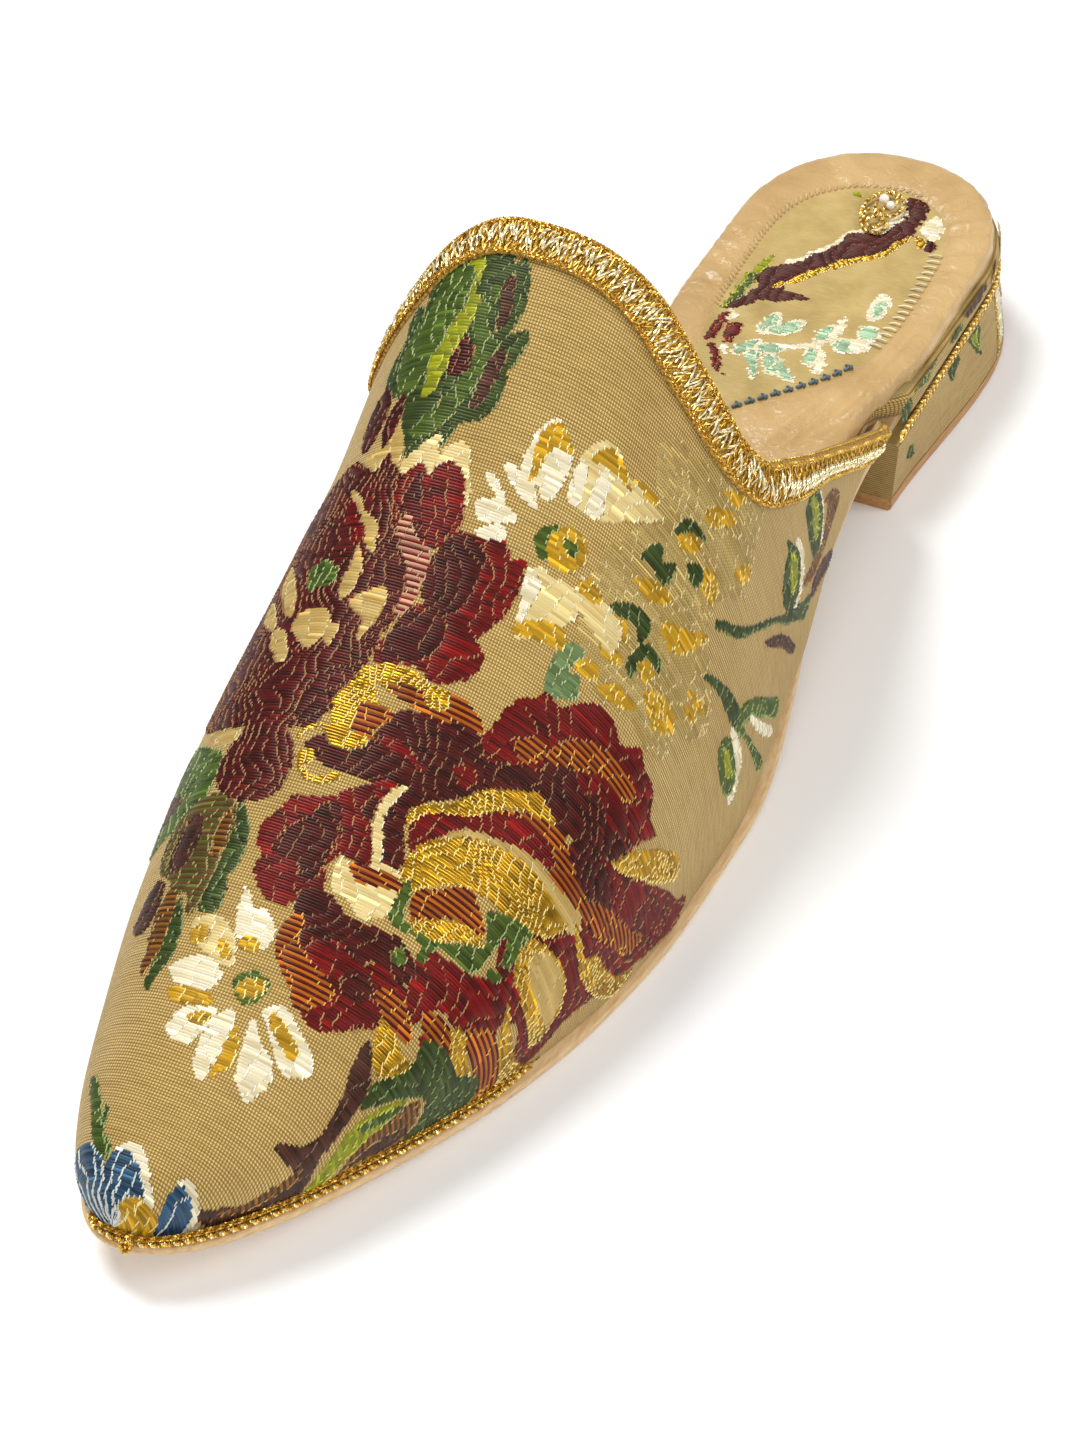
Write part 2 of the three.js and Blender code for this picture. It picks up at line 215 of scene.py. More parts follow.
# The cloth is charted in millimetres: u round the foot from the ridge, lateral positive,
# and s behind the toe tip.
CHART_BEND = np.linspace(0.0, float(bend(200.0)), 300)
CHART_U = np.arange(-125.0, 125.0, 0.5)


def _chart():
    g = np.linspace(-1, 1, 801)
    rows = []
    for s in (1 - np.cos(CHART_BEND)) * LENGTH / 2:
        p = upper_face(s, g)
        arc = np.concatenate([[0], np.cumsum(np.linalg.norm(np.diff(p, axis=0), axis=1))])
        u = arc[400] - arc
        rows.append(np.interp(CHART_U, u[::-1], g[::-1]))
    return np.array(rows)


CHART_GIRTH = _chart()


def girth_of(u, s):
    i = np.clip(bend(s) / CHART_BEND[1], 0, len(CHART_BEND) - 1.001)
    j = np.clip((u - CHART_U[0]) / 0.5, 0, len(CHART_U) - 1.001)
    a, b = i.astype(int), j.astype(int)
    fi, fj = i - a, j - b
    c = CHART_GIRTH
    low = c[a, b] * (1 - fj) + c[a, b + 1] * fj
    high = c[a + 1, b] * (1 - fj) + c[a + 1, b + 1] * fj
    return low * (1 - fi) + high * fi


def lay_on_upper(u, s, lift):
    """Points on the cloth at chart place (u, s), lifted off its face."""
    u, s, lift = np.broadcast_arrays(np.asarray(u, float), np.asarray(s, float), lift)
    g = girth_of(u, s)
    return upper_face(s, g) + upper_normal(s, g) * lift[..., None]


# ---------------------------------------------------------------- colours and materials
def linear(hex_colour):
    """An sRGB hex value as a linear colour."""
    value = [int(hex_colour[i : i + 2], 16) / 255 for i in (1, 3, 5)]
    return [c / 12.92 if c <= 0.04045 else ((c + 0.055) / 1.055) ** 2.4 for c in value] + [1.0]


def add_node(tree, kind, links=(), **settings):
    """Adds one node: settings by attribute or input name, links as (input, output socket)."""
    node = tree.nodes.new("ShaderNode" + kind)
    for key, value in settings.items():
        key = key.replace("_", " ") if not hasattr(node, key) else key
        if hasattr(node, key):
            setattr(node, key, value)
        else:
            node.inputs[key].default_value = value
    for socket, output in links:
        tree.links.new(output, node.inputs[socket])
    return node


def new_material(name, colour, rough, metallic=0.0, **sockets):
    material = bpy.data.materials.new(name)
    material.use_nodes = True
    tree = material.node_tree
    shader = tree.nodes["Principled BSDF"]
    shader.inputs["Base Color"].default_value = linear(colour)
    shader.inputs["Roughness"].default_value = rough
    shader.inputs["Metallic"].default_value = metallic
    for key, value in sockets.items():
        shader.inputs[key.replace("_", " ")].default_value = value
    return material, tree, shader


def ramp(tree, factor, stops):
    """A colour ramp of (place, hex colour)."""
    node = add_node(tree, "ValToRGB", [("Fac", factor)])
    elements = node.color_ramp.elements
    while len(elements) < len(stops):
        elements.new(0.5)
    for element, (place, colour) in zip(elements, stops):
        element.position = place
        element.color = linear(colour)
    return node.outputs["Color"]


def math_node(tree, operation, first, second=0.0):
    node = tree.nodes.new("ShaderNodeMath")
    node.operation = operation
    for socket, value in zip(node.inputs, (first, second)):
        if isinstance(value, (int, float)):
            socket.default_value = value
        else:
            tree.links.new(value, socket)
    return node.outputs[0]


def plain_weave(tree, place, pitch):
    """Height of a plain weave, from a place in millimetres: threads cross over and under."""
    parts = add_node(tree, "SeparateXYZ", [("Vector", place)]).outputs
    across = math_node(tree, "DIVIDE", parts["X"], pitch)
    along = math_node(tree, "DIVIDE", parts["Y"], pitch * 0.92)
    turn = [math_node(tree, "SINE", math_node(tree, "MULTIPLY", v, math.pi)) for v in (across, along)]
    return math_node(tree, "MULTIPLY", turn[0], turn[1])


def brocade_ground():
    """Gold-tan silk and linen plain weave, calendered: small threads with pinholes between them,
    painted highlight on the threads' crowns and painted shade in the pinholes, slubs along the weft, and a
    soft uneven lustre."""
    material, tree, shader = new_material("brocade_ground_weave", "#D0B06A", 0.6)
    shader.inputs["Specular IOR Level"].default_value = 0.3
    uv = add_node(tree, "UVMap", uv_map="cloth")
    chart = add_node(tree, "VectorMath", [(0, uv.outputs[0])], operation="SCALE", Scale=100.0)
    weave = plain_weave(tree, chart.outputs[0], 0.48)
    size = math_node(tree, "ABSOLUTE", weave)
    stretch = add_node(tree, "Mapping", [("Vector", chart.outputs[0])])
    stretch.inputs["Scale"].default_value = (0.16, 2.2, 1.0)
    slub = add_node(tree, "TexNoise", [("Vector", stretch.outputs[0])], Scale=1.0, Detail=3.0)
    cloud = add_node(tree, "TexNoise", [("Vector", chart.outputs[0])], Scale=0.05, Detail=3.0)
    # painted highlight and shade: threads lighter on their crowns, darker down into the pinholes between
    # them
    threads = ramp(tree, size, [(0.0, "#7C5C22"), (0.28, "#B8964C"), (0.7, "#DABC76"), (1.0, "#E6CC8A")])
    mix = add_node(tree, "Mix", data_type="RGBA", blend_type="MULTIPLY")
    mix.inputs["Factor"].default_value = 0.55
    shade = ramp(tree, slub.outputs["Fac"], [(0.3, "#C9BFA4"), (0.6, "#FFFFFF")])
    tree.links.new(threads, mix.inputs["A"])
    tree.links.new(shade, mix.inputs["B"])
    warm = add_node(tree, "Mix", data_type="RGBA", blend_type="MULTIPLY")
    warm.inputs["Factor"].default_value = 0.5
    tree.links.new(mix.outputs["Result"], warm.inputs["A"])
    tree.links.new(ramp(tree, cloud.outputs["Fac"], [(0.3, "#E6DCC4"), (0.65, "#FFFFFF")]), warm.inputs["B"])
    tree.links.new(warm.outputs["Result"], shader.inputs["Base Color"])
    height = math_node(tree, "ADD", size, math_node(tree, "MULTIPLY", slub.outputs["Fac"], 0.4))
    bump = add_node(tree, "Bump", [("Height", height)], Strength=0.7, Distance=0.00022)
    tree.links.new(bump.outputs["Normal"], shader.inputs["Normal"])
    shader.inputs["Sheen Weight"].default_value = 0.15
    shader.inputs["Sheen Roughness"].default_value = 0.4
    return material


def thread_material(name, rough, metallic, specular=0.5, tinted=False):
    """Dyed thread, coloured by its own attribute; floss also tints the light it throws back."""
    material, tree, shader = new_material(name, "#808080", rough, metallic)
    shader.inputs["Specular IOR Level"].default_value = specular
    dye = add_node(tree, "Attribute", attribute_name="dye")
    tree.links.new(dye.outputs["Color"], shader.inputs["Base Color"])
    if tinted:
        pale = add_node(tree, "Mix", [("A", dye.outputs["Color"])], data_type="RGBA")
        pale.inputs["Factor"].default_value = 0.3
        pale.inputs["B"].default_value = linear("#FFF0D8")
        tree.links.new(pale.outputs["Result"], shader.inputs["Specular Tint"])
    return material


ground_cloth = brocade_ground()
silk_floss = thread_material("silk_floss_satin", 0.38, 0.0, 0.7, True)
lurex = thread_material("lurex_flat_metal_strip", 0.28, 0.7)
binding_silk = thread_material("binding_silk_pale", 0.5, 0.0, 0.4)

# ---------------------------------------------------------------- meshes from arrays
def new_piece(name, points, faces, material, dye=None, smooth_faces=True, body="root"):
    """One mesh piece from arrays in millimetres, riding on the body."""
    mesh = bpy.data.meshes.new(name)
    face_list = faces if isinstance(faces, list) else faces.tolist()
    mesh.from_pydata((np.asarray(points) * MM).tolist(), [], face_list)
    if dye is not None:
        layer = mesh.color_attributes.new("dye", "FLOAT_COLOR", "POINT")
        layer.data.foreach_set("color", np.asarray(dye, np.float32).ravel())
    mesh.materials.append(material)
    if smooth_faces:
        mesh.polygons.foreach_set("use_smooth", [True] * len(mesh.polygons))
    mesh.update()
    piece = bpy.data.objects.new(name, mesh)
    bpy.context.collection.objects.link(piece)
    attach(piece, body)
    return piece


def grid_faces(rows, columns, offset=0):
    """Quads of a grid of points, rows by columns."""
    i, j = np.meshgrid(np.arange(rows - 1), np.arange(columns - 1), indexing="ij")
    a = (i * columns + j).ravel() + offset
    return np.stack([a, a + 1, a + columns + 1, a + columns], -1)


# ---------------------------------------------------------------- the upper's cloth and lining
def topline_of(girth):
    """Station where a line of constant girth meets the topline."""
    low, high = np.full(girth.shape, 100.0), np.full(girth.shape, UPPER_END)
    for _ in range(40):
        middle = (low + high) / 2
        inside = middle < topline_station(upper_face(middle, girth)[..., 2])
        low, high = np.where(inside, middle, low), np.where(inside, high, middle)
    return low


def make_upper():
    """The lasted cloth with its lining, as one wall that is rounded over at the topline."""
    across, rows = 200, 130
    girth = np.linspace(-1, 1, across + 1)
    end = topline_of(girth)
    share = (np.arange(rows + 1) / rows) ** 1.6
    s = end[None] * share[:, None]
    g = np.broadcast_to(girth, s.shape)
    face = upper_face(s, g)
    normal = upper_normal(s, g)
    tip = unit(normal[0] + normal[0][::-1])
    normal[0] = tip
    inner = face - normal * WALL
    points = np.concatenate([face.reshape(-1, 3), inner.reshape(-1, 3)])
    count = (rows + 1) * (across + 1)
    outer_faces = grid_faces(rows + 1, across + 1)
    inner_faces = grid_faces(rows + 1, across + 1, count)[:, ::-1]
    edge = np.arange(across + 1) + rows * (across + 1)
    rim = np.stack([edge[:-1], edge[1:], edge[1:] + count, edge[:-1] + count], -1)
    left = np.arange(rows + 1) * (across + 1)
    right = left + across
    side_a = np.stack([left[:-1], left[1:], left[1:] + count, left[:-1] + count], -1)
    side_b = np.stack([right[1:], right[:-1], right[:-1] + count, right[1:] + count], -1)
    faces = np.concatenate([outer_faces, inner_faces, rim, side_a, side_b])
    piece = new_piece("upper_cloth", points, faces, ground_cloth)
    mesh = piece.data
    mesh.materials.append(lining_leather)
    is_lining = np.zeros(len(faces), int)
    is_lining[len(outer_faces) : len(outer_faces) + len(inner_faces)] = 1
    mesh.polygons.foreach_set("material_index", is_lining)
    arc = np.concatenate(
        [np.zeros((rows + 1, 1)), np.cumsum(np.linalg.norm(np.diff(face, axis=1), axis=2), 1)], 1
    )
    u = arc[:, across // 2][:, None] - arc
    chart = np.stack([u, s], -1).reshape(-1, 2) / 100
    chart = np.concatenate([chart, chart])
    layer = mesh.uv_layers.new(name="cloth")
    corner = np.zeros(len(mesh.loops), int)
    mesh.loops.foreach_get("vertex_index", corner)
    layer.data.foreach_set("uv", chart[corner].ravel())
    work = bmesh.new()
    work.from_mesh(mesh)
    bmesh.ops.remove_doubles(work, verts=work.verts, dist=0.000002)
    bmesh.ops.recalc_face_normals(work, faces=work.faces)
    work.to_mesh(mesh)
    work.free()
    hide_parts("upper")
    return piece


def leather(name, colour, dark, rough, grain=0.9):
    """Chrome-tanned sheepskin: fine pebbled grain, soft creases, cloudy colour and a low sheen."""
    material, tree, shader = new_material(name, colour, rough)
    place = add_node(tree, "TexCoord")
    scale = add_node(tree, "VectorMath", [(0, place.outputs["Object"])], operation="SCALE", Scale=1000.0)
    pebbles = add_node(tree, "TexVoronoi", [("Vector", scale.outputs[0])], Scale=1 / grain)
    cloud = add_node(tree, "TexNoise", [("Vector", scale.outputs[0])], Scale=0.09, Detail=6.0)
    fine = add_node(tree, "TexNoise", [("Vector", scale.outputs[0])], Scale=1.6, Detail=4.0)
    tree.links.new(
        ramp(tree, cloud.outputs["Fac"], [(0.3, dark), (0.62, colour)]), shader.inputs["Base Color"]
    )
    ripple = add_node(
        tree, "TexNoise", [("Vector", scale.outputs[0])], Scale=0.42, Detail=3.0, Distortion=1.2
    )
    waves = add_node(tree, "Bump", [("Height", ripple.outputs["Fac"])], Strength=0.55, Distance=0.0007)
    height = math_node(
        tree, "ADD", pebbles.outputs["Distance"], math_node(tree, "MULTIPLY", fine.outputs["Fac"], 0.8)
    )
    bump = add_node(tree, "Bump", [("Height", height)], Strength=0.35, Distance=0.00012)
    tree.links.new(waves.outputs["Normal"], bump.inputs["Normal"])
    tree.links.new(bump.outputs["Normal"], shader.inputs["Normal"])
    return material


lining_leather = leather("lining_sheepskin", "#D8BC8C", "#C4A470", 0.6)
make_upper()

# ---------------------------------------------------------------- brocade figures
# Yarns: dye, second dye (of every other thread where striped), stripe, longest float in mm,
# how often its binding shows, dye of the binding.
YARNS = {
    "crimson": ("#76060A", "#420306", False, 3.0, 0.5, "#B08050"),
    "maroon": ("#4C0E0E", "#2A0808", False, 2.5, 0.5, "#946A46"),
    "amber": ("#A85A0E", "#4E0606", True, 3.4, 0.5, "#E8B04C"),
    "lace": ("#561010", "#320808", False, 1.8, 0.7, "#A4764C"),
    "ribbed": ("#6C0C0E", "#C09474", True, 3.6, 0.5, "#D0AC86"),
    # gold: its pale binding dye is a real binding thread and also a painted glint on the metal
    "gold": ("#C4961A", "#8E660A", False, 1.6, 0.75, "#FFE690"),
    "straw": ("#C2A666", "#AC8C48", False, 4.6, 0.4, "#E0CE92"),
    "cream": ("#DCC88E", "#C8AE6C", False, 3.0, 0.5, "#FFF4CC"),
    "white": ("#EAE0C4", "#CFC196", False, 3.2, 0.5, "#FFFAE8"),
    "sheer": ("#B8A060", "#9A8044", False, 2.4, 0.3, "#E4D098"),
    "yellow": ("#CC9C1C", "#9A7410", False, 1.7, 0.5, "#FFEC98"),
    "moss": ("#4C6020", "#344614", False, 2.6, 0.7, "#A4B070"),
    "dark_green": ("#3A4A1E", "#263412", False, 2.8, 0.5, "#8C9A60"),
    "lime": ("#989A12", "#747C10", False, 2.4, 0.5, "#D4D258"),
    "sage": ("#6E8454", "#566C40", False, 2.6, 0.5, "#B8C490"),
    "brown": ("#4C2A20", "#341C14", False, 3.2, 0.4, "#8A6A4C"),
    "tobacco": ("#82521A", "#482A10", True, 3.2, 0.5, "#C09858"),
    "olive": ("#505420", "#5A381C", True, 2.6, 0.6, "#A49050"),
    # blue: its pale binding, shown nine times in ten, is a real binding thread and also a painted glint on
    # the satin
    "blue": ("#3A607E", "#1A344C", False, 2.4, 0.9, "#DCE0D8"),
    "mint": ("#A9C6A0", "#8AAE8A", False, 2.2, 0.4, "#ECF0D8"),
    "burgundy": ("#52201C", "#3C1616", False, 2.8, 0.3, "#7C4C3E"),
}
YARN_NAMES = list(YARNS)

# Each figure is a list of (yarn, outline); outlines are charted as "u,s" in millimetres,
# and a later patch lies over the ones before it.
LEAF_AT_THROAT = [
    ("dark_green", "-7,107.5 -5,110 -2,111.5 -0.5,114.5 2,115.5 3.5,117 4.3,120 4.2,122 5,124 "
     "5.6,126 5,127.5 3,126.8 2.5,127 3.4,129.5 3.3,131.5 2.5,134 1.5,136 0.3,136.7 -0.5,135.3 "
     "-1.5,137.5 -4,138 -8,138 -12,137 -14,133 -15,132.8 -14.5,130 -17,131 -18,128.5 -17,126 "
     "-19,123 -17,119 -12,117 -10,113 -8,110"),
    ("moss", "-12,136 -9,136 -7,134 -6,130 -5.5,127 -7,124 -9,121 -11,117.5 -14,119 -16,123 "
     "-15,127 -13,130"),
    ("moss", "-5,112 -3,114 -1,118 1,121 1.5,124.5 -0.5,126 -2,128 -1,131.5 -2.5,132 -4,128 -2,123 "
     "-4,118 -7,114 -8,112"),
    ("lime", "-8.5,136 -5.5,135.5 -5.2,131 -4,130 -4.3,126 -5.5,123 -5.8,120.5 -6.5,118 -8.5,117 "
     "-8.7,119.5 -9.2,122 -8,124 -7.5,126.5 -6,129 -6.5,132"),
    ("moss", "-8,134.5 -6.5,133.5 -6,131 -6.6,128.7 -8.5,130.5"),
    ("maroon", "-4.2,125 -2.5,124 -2,121.5 -4,120 -5.5,120.5 -5.4,122.5"),
    ("brown", "-1,133.5 0,134 1,131.5 1.5,128 0,126.5 -0.3,129 -1,131"),
    ("brown", "0.5,123 2.5,124.5 3,122 1.5,117.5 0,117"),
]
BACK_ROSE = [
    ("cream", "-8.5,106 -6.5,109.5 -4.5,111.8 -2.8,112.6 -2.5,110 -1.5,111 0,112.2 2,111.8 3.3,109 "
     "5,105 2,104 -5,104"),
    ("straw", "-11.5,114 -9.5,112.5 -8.3,109.5 -7.5,107 -6,104 -12,104 -16,106 -15,110 -13,111"),
    ("maroon", "-14,116 -12,118 -11,115.5 -11.5,111.5 -12.5,110.5 -14,113"),
    ("maroon", "-17,120 -14.5,117 -15,113 -16.5,110.5 -19,113 -20,118"),
    ("lace", "-9,108 -10.5,109.5 -12,107 -15,108.5 -19,110 -25,108 -33,104 -39,96 -40,86 -35,77 "
     "-26,71 -16,69 -12,69 -5,70 -1,76 0,84 2,92 0,98 -4,104"),
    ("lace", "-15,69 -11,70.5 -7,68.5 -4.5,64.5 -5,60 -9,58 -14,59 -17,62 -17,66"),
    ("crimson", "-14,103 -11,101 -9,98 -10,96 -13,99 -16,102"),
    ("crimson", "-7,105 -6,107 -4,108.5 -2.6,107 -1,109 1,109.3 3,108 4,105.5 5,103 5,101.5 3,98 "
     "-1,97 -5,99"),
    ("crimson", "5,101 7,101 9,101.3 11,102 13,101.5 14,100 15,100.5 16.5,100.5 17,98 16.5,94 "
     "16,92 14.5,90 13,88 10,88 4,92 3,97"),
    ("crimson", "13,88.5 15,87.5 16,85.5 15,83.5 12.5,81.5 10,80.8 7,82 4,81.5 1,81 0,82 1,86 3,90 8,90"),
    ("maroon", "-4,107 -2.5,104.5 -1,101 0,97 -1,94 -3.5,98 -5,103"),
    ("maroon", "5,100.5 8,100.5 10.5,98.5 10,92 7,89.5 4,90.5 2.5,94 3,98"),
    ("maroon", "3,89 8,89.5 9,86 7,83 3,81.5 1,82 1,86"),
    ("ribbed", "-4.5,99.5 -3,101.5 -1,98.5 2,97.5 3,93 2,88.5 0.3,88 0.3,92 -1,95 -3,97"),
    ("maroon", "-1,80.5 -5,77 -3,73 -5,69.5 -8,72 -7,77"),
    ("straw", "-16,105 -13,103.5 -10.5,100.8 -8,99.6 -6.3,95.2 -8.5,96.5 -10,98.8 -12,101.3 -15,103.8"),
    ("straw", "-9.5,96 -8,94.5 -7,92 -7.5,89.5 -8.5,88.2 -9.8,90 -9.5,93"),
    ("straw", "-7,88.5 -5,90 -3,91 -2,90.5 -1.3,88.5 -2,85.5 -3.5,83 -4,86 -6,87"),
    ("straw", "-15.5,86 -13,87 -10,86.5 -8.5,84.8 -7,84.5 -7.3,81.5 -9,82.5 -10.5,80.8 -13,82 -15.5,84"),
    ("straw", "-20,84.5 -17,84 -14.5,81 -13.5,79.3 -15,78.7 -17,80.5 -19,82"),
    ("straw", "-26,97 -21,93 -18,89 -16.8,86 -19,87 -22,90 -26,94"),
    ("straw", "-27,92 -22,88 -20,85 -22,85.5 -27,89"),
    ("moss", "-18,93.5 -15,94.3 -13,93.5 -11.3,92.5 -11.2,90.5 -14,90.3 -15,89.2 -16.5,90.5 -17,92"),
    ("straw", "-25,70 -21,69.5 -17,68.8 -15.5,68 -17.5,66.5 -20,67"),
]
FRONT_ROSE = [
    ("crimson", "21,79.5 21.5,82 23,84.5 25,85.7 26,87.4 28,86.8 30,87.5 32,89.5 35,91 38,91 "
     "40,89.5 42,90.3 44.5,91.8 47,90.5 50,90.2 52,87.3 54.8,87.3 53,85 51,82.5 50,80 47,78.5 "
     "44,77 40,75 36,75.5 32,76 30,76 26,74.3 22.5,73.2 20,76"),
    ("crimson", "40,77 48,79 53,80 59,83 66,87 72,90 76,93 79,91 74,84 68,76 62,68 58,62 58,56 "
     "55,52 50,51.5 46,53 42,50 44,46 40,46 34,60 38,68"),
    ("gold", "46,77.5 50,81 54,84.3 58,87.4 64,91 67,90 62,85.5 56,81.5 51,78.5"),
    ("maroon", "31,80 34,82 37,80 40,82 43,80.5 47,81 50,82 49,79 44,76 38,74.5 33,74.8 30,77.3"),
    ("amber", "31,83 34,85.5 38,87 44,87.6 47,86.4 44,84.2 40,84.3 36,82.3 33,80.8 30,80"),
    ("amber", "25,79.5 28,81.5 30,80 28,78 26,77.5"),
    ("maroon", "5,70.5 6,73 8,76 13,76.3 17,77.7 20,77 22,75 25,76 30,78 35,77 38,74 30,72 25,71.5 "
     "20,68 16,65.5 15,62 17,57.5 15.5,55.5 13.5,55 12,57 11,60 10.5,64 8,65.5 4,65.2 -1,65.8 "
     "-4,67.3 -2,69.5 0,68.3 3,68.6"),
    ("crimson", "6,71 9,72 12,71 14,69 12,69.8 8,70.3"),
    ("crimson", "18,71.5 20,73 22,72 20.5,69.8"),
    ("crimson", "8,65.3 5,63.5 3,61.8 0,61 -2,60.5 -3,59 -4,57 -5,55.5 -4.5,53 -3,51.5 -3,49 -1,47 "
     "1,45.7 4,45.8 5,47 8,49.5 7,53 8.5,55 11.5,54.5 13,55.5 12,59 11,62 12,66 10,66.5"),
    ("maroon", "3,61 5.5,60.5 6.5,57 6.5,54 6,50.5 4,49.5 3,52 0,52 -2,53 -1,56 1,58"),
    ("maroon", "9.5,64 10.5,61 9,60.5 8.2,62.5"),
    ("maroon", "40,76 45,76.5 50,75.5 54,73 50,70 44,69.8 39,72"),
    ("amber", "46,71 52,74 60,77 66,80 64,76 56,72 50,69.5"),
    ("amber", "22,68.5 27,70.5 32,73 36,74 41,72.3 46,71 50,70.5 46,68.5 40,68 36,69.5 33,71.5 "
     "28,69 24,67.6"),
    ("crimson", "15.5,64 19,66 23,67.3 26,69.5 30,71.5 34,71.8 38,70.3 36,68.5 32,67.5 27,66.3 "
     "23,65.5 20,62.5 17.5,59 16,61"),
    ("gold", "14.7,62.8 15,64.5 17,65.8 20,67.5 22,70 24,71.8 27,73.5 29.5,74.8 31,75.7 33,75 "
     "35.5,74.3 33,73.2 30,72.3 27,70.8 24.5,68.3 22,66.8 19,65.6 16.5,64.1 15.4,62.3"),
    ("straw", "20.5,63 24,65.8 28,67 34,68.5 40,68.4 46.5,69 47.5,67.3 43,65 38,64 32,64 26,62 22,60"),
    ("gold", "17,56 17.8,60 20,62.3 24,64.8 28,66 33,67 38,66.8 43,66.2 45,66.6 43.5,64.3 41,62 "
     "37,60.6 33,59.8 29,59.7 25.5,58.8 22.5,57 20,54.8 18.5,53.5"),
    ("gold", "46,68 52,67.2 55,69.6 60,71 66,74 70,78 70,74 64,69.5 58,66.7 53,65.5 48,66.5"),
    ("amber", "20.3,55 23,56.8 26,58.8 28,59.2 31,57 32.3,55.6 30,55 26,54.5 22.5,51.5 20.5,52.5"),
    ("gold", "21,51 23,50.4 26,51 29,53 32,54.2 32.3,55.5 28,55 24,53"),
    ("cream", "8,55 8.4,51.5 10,49.8 12,49.6 14,48.3 16,48.6 18,50.5 18.5,53 17,56 14,55.9 12,54.3 "
     "9.3,54.3"),
    ("amber", "10,54.2 13,54.9 17,55.3 18.5,54 15,53 12,52.5"),
    ("cream", "13,66.5 12,66.3 10.8,64.8 10.3,62 10.8,59.5 12,57.5 13,55.3 14.2,55.3 13.5,57.5 "
     "12.3,60 11.8,62.5 12.3,64.5"),
    ("maroon", "5,48.5 9,49.5 13,47.8 17,48 21,48.5 24,47.5 30,49.5 34,51.5 38,54 39.5,57 "
     "36.5,57.5 36,52 30,47 26,45 22,42.5 19,44 17,42 14,43.5 11,42.5 8,42 6,44"),
    ("crimson", "24,49 27,49.8 32,50.5 35,52 38,53.8 41,53.7 42,50 42,46 38,46 35,44.5 31,44.5 "
     "28,42 25,43 25,46"),
    ("crimson", "7,42.5 10,43 14,44 17,42.5 20,44 24,43.5 27,43 29,42 26,38.5 22,36 20.5,35 18,33 "
     "15,32.2 12.5,33.5 10,35.5 7.5,38 6,40"),
    ("maroon", "16,41 19,42 21,40 19,38 16.5,38.6"),
    ("amber", "4.7,43 6,45.5 7.5,44.5 8,42 10,40.5 14,39 16,37.5 15,35.5 12,33.5 10,35.5 7.5,37.5 "
     "5.5,39.8"),
    ("moss", "18.3,55 19,56 19.8,54.5 20,51.5 22,50.5 25.5,50.8 28,52 31,53.8 33,55.2 31,58.5 "
     "34,60 37,61 39.5,60.8 38.8,58 38,55.5 36.5,55 35.5,58 34.5,56 33.8,53 32.5,51 29.5,50.5 "
     "27,50.8 26,49.5 25.5,47.6 24,47.4 24.3,49.2 22,49.7 19.5,49.3 18,51"),
    ("moss", "20.7,46.3 21.5,47.6 23,46.8 22.8,45.6 21,45.4"),
    ("moss", "35,53.3 37.5,54 37,52.6 35.5,52.4"),
    ("gold", "38.6,58 39.5,60.8 43,62 47,62.8 51,62.5 53.5,61 54.5,58 53,55 50,54.3 45,54.5 41,55 39,56"),
    ("straw", "41,59.5 43,61.5 47,62.3 51,62 53,60.5 53.3,58 50,57.2 45,57 42,57.5"),
    ("gold", "41,53 44,51.8 48,51.5 54,53 59,56 63,60 62,55 56,50.5 50,48.5 45,49 42,51"),
    ("amber", "40,48.5 46,49 52,49 57,50 52,46.5 46,44.5 41,44.5 36,45"),
    ("gold", "33.5,43.5 36,45.3 40,43.8 46,44.3 52,46 54,45.5 50,42.5 44,41 40,40 36,40.3"),
    ("amber", "29,43 33,44 36,42 34,40.5 30,40.8"),
    ("crimson", "30,40.3 34,40.8 37,40 35,38.6 32,38.6"),
    ("gold", "23.5,39 25,39.3 27,37.5 30,37 33,38.7 35.3,38.3 34.5,36 31,34.2 28.5,32.8 26,33 24,35"),
    ("amber", "21,41 24,42.5 27,41 29,38.5 26,38.2 23,39"),
]
YELLOW_PETAL = [
    ("gold", "-0.5,79.5 1,80.5 3,81.3 6,81.5 8.5,81 10,80 10,78 7,77.2 4,77.8 2,78.5 3.5,76.5 "
     "4.5,74.5 2,73 1.5,71 4,70.8 5,70 3,68.7 1,68.3 -1,69 -2.5,70.3 -4.5,69.5 -5.3,68 -5.8,68.5 "
     "-4.5,70.3 -2.5,70.8 -1.5,71.3 -2.5,73 -2.6,75 -1.5,77.2 -1,78"),
    ("amber", "4,78.7 10,79.6 15,80.5 19,79.2 20,77.5 17,77.7 13,76.3 8,77 6,77.4"),
    ("gold", "9.5,80 13,80.4 14,78.5 11,77.5"),
    ("amber", "1.5,75 4,75.5 7,74.8 5,72 5.5,70.8 2,71.2 1.3,73"),
    ("gold", "-4.5,66 -3.5,67 -2,66.7 -1.8,65.5 -2.8,64.8 -1.5,63.8 0.5,64 2,65 3.5,64.5 2,63.5 "
     "0,62.8 -2,63 -3.3,64 -4.2,65"),
]
